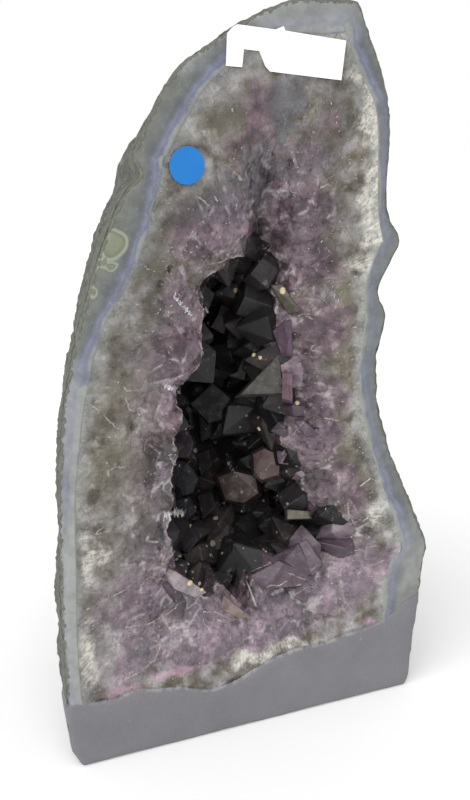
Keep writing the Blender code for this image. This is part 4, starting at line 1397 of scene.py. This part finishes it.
SPLINTER_CLUMP, SHARD_CLUMP = 9, 13  # breadth of the clumps in which they lie
SPLINTER_LENGTH, SPLINTER_WIDTH, FIBRE_WIDTH = (0.4, 1.5), (0.25, 0.6), (0.4, 0.8)
SHARD_SUNK = 0.3  # as a share of its width
SHARD_LENGTH, SHARD_WIDTH = (2, 5.5), (0.9, 2.2)
GRAIN_COLOURS = {"cream": paint(212, 192, 158), "beige": paint(132, 126, 112)}


def add_grain(bm, place, normal, radius, rng):
    """One rounded grain, flattened onto the surface that it lies on."""
    made = bmesh.ops.create_icosphere(bm, subdivisions=2, radius=radius)["verts"]
    for vert in made:
        vert.co *= 1 + 0.3 * noise.noise(vert.co / radius + place)
    size = Matrix.Diagonal((rng.uniform(0.8, 1.1), rng.uniform(0.8, 1.1), GRAIN_HEIGHT, 1))
    turned = Matrix.Translation(place) @ turned_to(normal) @ size
    bmesh.ops.transform(bm, matrix=turned, verts=made)
    return made


def grain_material():
    """Calcite in each grain's own tint, mottled."""
    material, shader, place = surface_material("calcite_grains")
    mottle = grain_value(place, 0.9, 4, 0.7)
    colour = toned(layer_value(material, "tint", "Color"), between(mottle, 0.3, 0.7, 0.6, 1.2))
    normal = relief_bump(mottle, 0.0004)
    set_inputs(shader, Base_Color=colour, Roughness=0.6, Normal=normal)
    return material


def calcite_grains(tree):
    """The placed grains, then loose ones scattered in the hollow."""
    rng = random.Random(GRAIN_SEED)
    bm = bmesh.new()
    tint = bm.verts.layers.float_color.new("tint")
    sites = [(*grain, "cream") for grain in CREAM_GRAINS]
    sites += [(*grain, "beige") for grain in BEIGE_GRAINS]
    for _ in range(LOOSE_GRAINS):
        place = rng.uniform(*LOOSE_ACROSS), rng.uniform(*LOOSE_UP)
        sites.append((*place, rng.uniform(*LOOSE_RADIUS), "beige"))
    for x, z, radius, kind in sites:
        for vert in add_grain(bm, *seen_surface(tree, x, z), radius, rng):
            vert[tint] = GRAIN_COLOURS[kind]
    crystal_piece("calcite_grains", bm, grain_material())


def splinter_material():
    """White quartz, clear at some places."""
    material, shader, place = surface_material("white_quartz_splinters")
    colour = colour_steps(
        grain_value(place, 3, 4, 0.7), [(0.35, paint(165, 163, 163)), (0.6, paint(228, 227, 226))]
    )
    set_inputs(shader, Base_Color=colour, Roughness=0.2)
    return material


def add_splinter(bm, place, along, length, width):
    """One splinter: a thin four-sided spike that lies along the surface."""
    made = bmesh.ops.create_cone(
        bm, cap_ends=True, segments=4, radius1=width / 2, radius2=width / 8, depth=length
    )["verts"]
    bmesh.ops.transform(bm, matrix=Matrix.Translation(place) @ turned_to(along), verts=made)
    too_near = SAWN_AT - min(vert.co.y for vert in made)
    if too_near > 0:
        bmesh.ops.translate(bm, vec=(0, too_near, 0), verts=made)


def quartz_splinters(tree):
    """The combs, then splinters in clumps all over the face."""
    rng = random.Random(SPLINTER_SEED)
    bm = bmesh.new()
    for start, end, length in COMBS:
        start, end = Vector(start), Vector(end)
        across = (end - start).normalized()
        across = Vector((-across.y, 0.25, across.x))
        for _ in range(round((end - start).length * (2 + length / 2.5))):
            at = start.lerp(end, rng.random())
            place = seen_surface(tree, at.x + rng.gauss(0, 0.4), at.y + rng.gauss(0, 0.5))[0]
            along = across + Vector([rng.gauss(0, 0.3) for _ in range(3)])
            fibre = length * rng.uniform(0.4, 1.0)
            add_splinter(bm, place, along, fibre, rng.uniform(*FIBRE_WIDTH))
    made = 0
    while made < SPLINTERS:
        i = rng.randrange(CRUST_AROUND)
        at = EDGE[i].lerp(MOUTH[i], rng.random())
        clump = noise.noise(Vector((at.x, 8, at.y)) / SPLINTER_CLUMP)
        if clump < rng.uniform(0.0, 0.6) or flush_share(*at) == 0 or at.y < cement_height(at.x):
            continue
        along = Vector((rng.gauss(0, 1), rng.gauss(0, 0.4), rng.gauss(0, 1)))
        place = seen_surface(tree, *at)[0]
        if place:
            length = rng.uniform(*SPLINTER_LENGTH)
            add_splinter(bm, place, along, length, rng.uniform(*SPLINTER_WIDTH))
            made += 1
    return bm


def crust_shards(tree):
    """Broken shards of quartz that point inwards from the agate, half sunk in the crust."""
    rng = random.Random(SHARD_SEED)
    bm = bmesh.new()
    made = 0
    while made < SHARDS:
        i = rng.randrange(CRUST_AROUND)
        share = rng.random() ** 1.3 * 0.8
        at = EDGE[i].lerp(MOUTH[i], share)
        clump = noise.noise(Vector((at.x, 3, at.y)) / SHARD_CLUMP)
        clear = flush_share(*at) > 0 and at.y > cement_height(at.x) + 2
        if clump < rng.uniform(-0.05, 0.55) or not clear:
            continue
        inwards = (MOUTH[i] - EDGE[i]).normalized()
        inwards.rotate(Matrix.Rotation(rng.gauss(0, 0.3), 2))
        place, normal = seen_surface(tree, *at)
        if place:
            along = Vector((inwards.x, rng.uniform(-0.05, 0.25), inwards.y))
            width = rng.uniform(*SHARD_WIDTH) * (1 - 0.4 * share)
            root = place - normal * SHARD_SUNK * width
            add_splinter(bm, root, along, rng.uniform(*SHARD_LENGTH), width)
            made += 1
    return bm


def shard_material():
    """Semi-clear quartz, whiter at some places."""
    material, shader, place = surface_material("broken_quartz")
    colour = colour_steps(
        grain_value(place, 6, 4, 0.7),
        [(0.35, paint(116, 111, 103)), (0.5, paint(136, 132, 125)), (0.66, paint(172, 168, 160))],
    )
    normal = relief_bump(grain_value(place, 1.0), 0.0004)
    set_inputs(shader, Base_Color=colour, Roughness=0.3, Normal=normal)
    return material


calcite_grains(all_crystals)
splinters, shards = quartz_splinters(all_crystals), crust_shards(all_crystals)
crystal_piece("quartz_splinters", splinters, splinter_material(), smooth=False)
crystal_piece("quartz_shards", shards, shard_material(), smooth=False)

# The foot is grey cement, cast round the stone's lower end so that the geode stands upright.
# It came out of its mould smooth, with rounded edges, and is faintly mottled and scuffed.
CEMENT_VOXEL, CEMENT_SMOOTHING = 1.5, 12  # size of a face, and rounds that round the edges
CEMENT_SWELLS = [(0.5, 30), (0.25, 8)]  # height and breadth
FRONT_SWELL = 0.4  # the swells' share on the sawn front


def cement_material():
    """Grey cement, mottled, scuffed, and whitish where it meets the stone."""
    material, shader, place = surface_material("grey_cement")
    colour = colour_steps(
        grain_value(place, 34, 4, 0.55),
        [(0.32, paint(107, 106, 111)), (0.50, paint(112, 111, 115)), (0.68, paint(117, 116, 120))],
    )
    colour = toned(colour, wavering(place, 1.1, 0.94, 1.06))
    scuffs = between(grain_value(place, 6, 5, 0.75), 0.66, 0.74, 0, 0.5)
    colour = laid_over(colour, scuffs, paint(172, 172, 174))
    edge = between(layer_value(material, "from_edge"), 0.4, 2.2, 0.55, 0)
    crusted = times(edge, between(grain_value(place, 5, 4, 0.7), 0.42, 0.58))
    colour = laid_over(colour, crusted, paint(168, 166, 165))
    normal = relief_bump(grain_value(place, 2.1, 4), 0.00025)
    set_inputs(shader, Base_Color=colour, Roughness=0.62, Normal=normal)
    return material


def cement_foot():
    """The solid foot, remeshed finely so that its edges are round, with an uneven skin."""
    bm = bmesh.new()
    bm.from_mesh(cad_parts["cement_base"].data)
    bmesh.ops.remove_doubles(bm, verts=bm.verts, dist=1e-6)
    holder = added_object("rough_foot", mesh_of("rough_foot", bm))
    remesh = holder.modifiers.new("remesh", "REMESH")
    remesh.mode = "VOXEL"
    remesh.voxel_size = CEMENT_VOXEL * MM
    holder.modifiers.new("smooth", "SMOOTH").iterations = CEMENT_SMOOTHING
    bm = evaluated_bmesh(holder)
    from_edge = bm.verts.layers.float.new("from_edge")
    back_to_drawing(bm)
    for vert in bm.verts:
        swell = layered_noise(vert.co, CEMENT_SWELLS)
        vert.co += vert.normal * swell * (FRONT_SWELL if vert.co.y < 1 else 1.0)
        vert.co.z = max(vert.co.z, 0.0)
        vert[from_edge] = cement_height(vert.co.x) - vert.co.z
    piece = finished_piece("cement_foot", bm, cement_material(), "cement_base")


cement_foot()

# The label is a plain white card, stuck flat on the sawn stone near the top. It is torn at its
# lower left and along its upper edge, and a notch is missing beside the torn corner.
LABEL_OUTLINE = [
    (-18, 393), (-15, 396), (-12.5, 397.3), (8.6, 395), (12.9, 396.6), (13.9, 394.5), (49, 389.8),
    (46.8, 370.1), (5.6, 374.8), (3, 377.3), (-0.5, 384.7), (-9, 385.6), (-10, 377), (-18.7, 377.7),
]
LABEL_FRONT, LABEL_BACK = -0.9, -0.3  # y of its faces


def card_label():
    material, shader, place = surface_material("white_card")
    whites = [(0.3, (0.90, 0.90, 0.90, 1)), (0.7, (0.97, 0.97, 0.97, 1))]
    colour = colour_steps(grain_value(place, 17), whites)
    normal = relief_bump(grain_value(place, 0.7, 2), 0.00004)
    set_inputs(shader, Base_Color=colour, Roughness=0.55, Normal=normal)
    bm = bmesh.new()
    corners = [bm.verts.new((x, LABEL_FRONT, z)) for x, z in LABEL_OUTLINE]
    front = bm.faces.new(corners)
    back = bmesh.ops.extrude_face_region(bm, geom=[front])["geom"]
    moved = [part for part in back if isinstance(part, bmesh.types.BMVert)]
    bmesh.ops.translate(bm, vec=(0, LABEL_BACK - LABEL_FRONT, 0), verts=moved)
    bmesh.ops.recalc_face_normals(bm, faces=bm.faces)
    piece = finished_piece("card_label", bm, material, "blank_label", smooth=False)


card_label()

# The dot is a round sticker of plain blue paper, slightly glossy. It is stamped from a sheet,
# and pressed on the sawn stone at the upper left.
STICKER_RADIUS, STICKER_THICKNESS, STICKER_EDGE = 9.5, 0.4, 0.15


def blue_dot():
    material, shader, place = surface_material("blue_paper")
    blues = [(0.3, (0.012, 0.175, 0.53, 1)), (0.7, (0.015, 0.19, 0.56, 1))]
    colour = colour_steps(grain_value(place, 11), blues)
    set_inputs(shader, Base_Color=colour, Roughness=0.6, Specular_IOR_Level=0.3)
    bm = bmesh.new()
    bmesh.ops.create_cone(
        bm, cap_ends=True, segments=96, radius1=STICKER_RADIUS, radius2=STICKER_RADIUS,
        depth=STICKER_THICKNESS,
    )
    top = STICKER_THICKNESS / 2 - 1e-4
    rim = [edge for edge in bm.edges if all(vert.co.z > top for vert in edge.verts)]
    bmesh.ops.bevel(
        bm, geom=rim, offset=STICKER_EDGE, segments=2, profile=0.5, affect="EDGES", material=-1
    )
    bmesh.ops.rotate(bm, matrix=Matrix.Rotation(math.pi / 2, 3, "X"), verts=bm.verts)
    place_at = (STICKER_CENTRE[0], LABEL_BACK - STICKER_THICKNESS / 2, STICKER_CENTRE[1])
    bmesh.ops.translate(bm, vec=place_at, verts=bm.verts)
    piece = finished_piece("blue_dot", bm, material, "round_sticker", smooth=False)


blue_dot()

# The studio is a white floor under a white sky, which lights the geode from all sides. One
# broad, soft light stands high at the left, in front of the sawn face.
FLOOR_SIZE = 6.0
SKY_SEEN, SKY_LIGHT = 1.0, 0.63
KEY_STRENGTH, KEY_SOFTNESS = 2.3, 75
KEY_FROM = Vector((-0.55, -0.55, 0.75))


def light(name, kind, place):
    """A light at that place, which shines towards the origin."""
    made = added_object(name, bpy.data.lights.new(name, kind))
    made.location = place
    made.rotation_euler = (-place).to_track_quat("-Z", "Y").to_euler()
    return made.data


def white_sky():
    """A sky that lights the geode softly, and that the camera sees as white."""
    world = bpy.data.worlds.new("studio")
    world.use_nodes = True
    nodes, links = world.node_tree.nodes, world.node_tree.links
    both = nodes.new("ShaderNodeMixShader")
    links.new(nodes.new("ShaderNodeLightPath").outputs["Is Camera Ray"], both.inputs[0])
    for socket, strength in ((1, SKY_LIGHT), (2, SKY_SEEN)):
        background = nodes.new("ShaderNodeBackground")
        background.inputs["Color"].default_value = (1, 1, 1, 1)
        background.inputs["Strength"].default_value = strength
        links.new(background.outputs[0], both.inputs[socket])
    links.new(both.outputs[0], nodes["World Output"].inputs["Surface"])
    bpy.context.scene.world = world


def studio():
    bm = bmesh.new()
    bmesh.ops.create_grid(bm, x_segments=1, y_segments=1, size=FLOOR_SIZE / 2)
    floor = added_object("floor", mesh_of("floor", bm))
    material, shader, _ = surface_material("pale_floor")
    set_inputs(shader, Base_Color=(0.99, 0.99, 0.99, 1), Roughness=0.9)
    floor.data.materials.append(material)
    white_sky()
    key = light("key_light", "SUN", KEY_FROM)
    key.energy, key.angle = KEY_STRENGTH, math.radians(KEY_SOFTNESS)
    bpy.context.scene.view_settings.view_transform = "Standard"


studio()
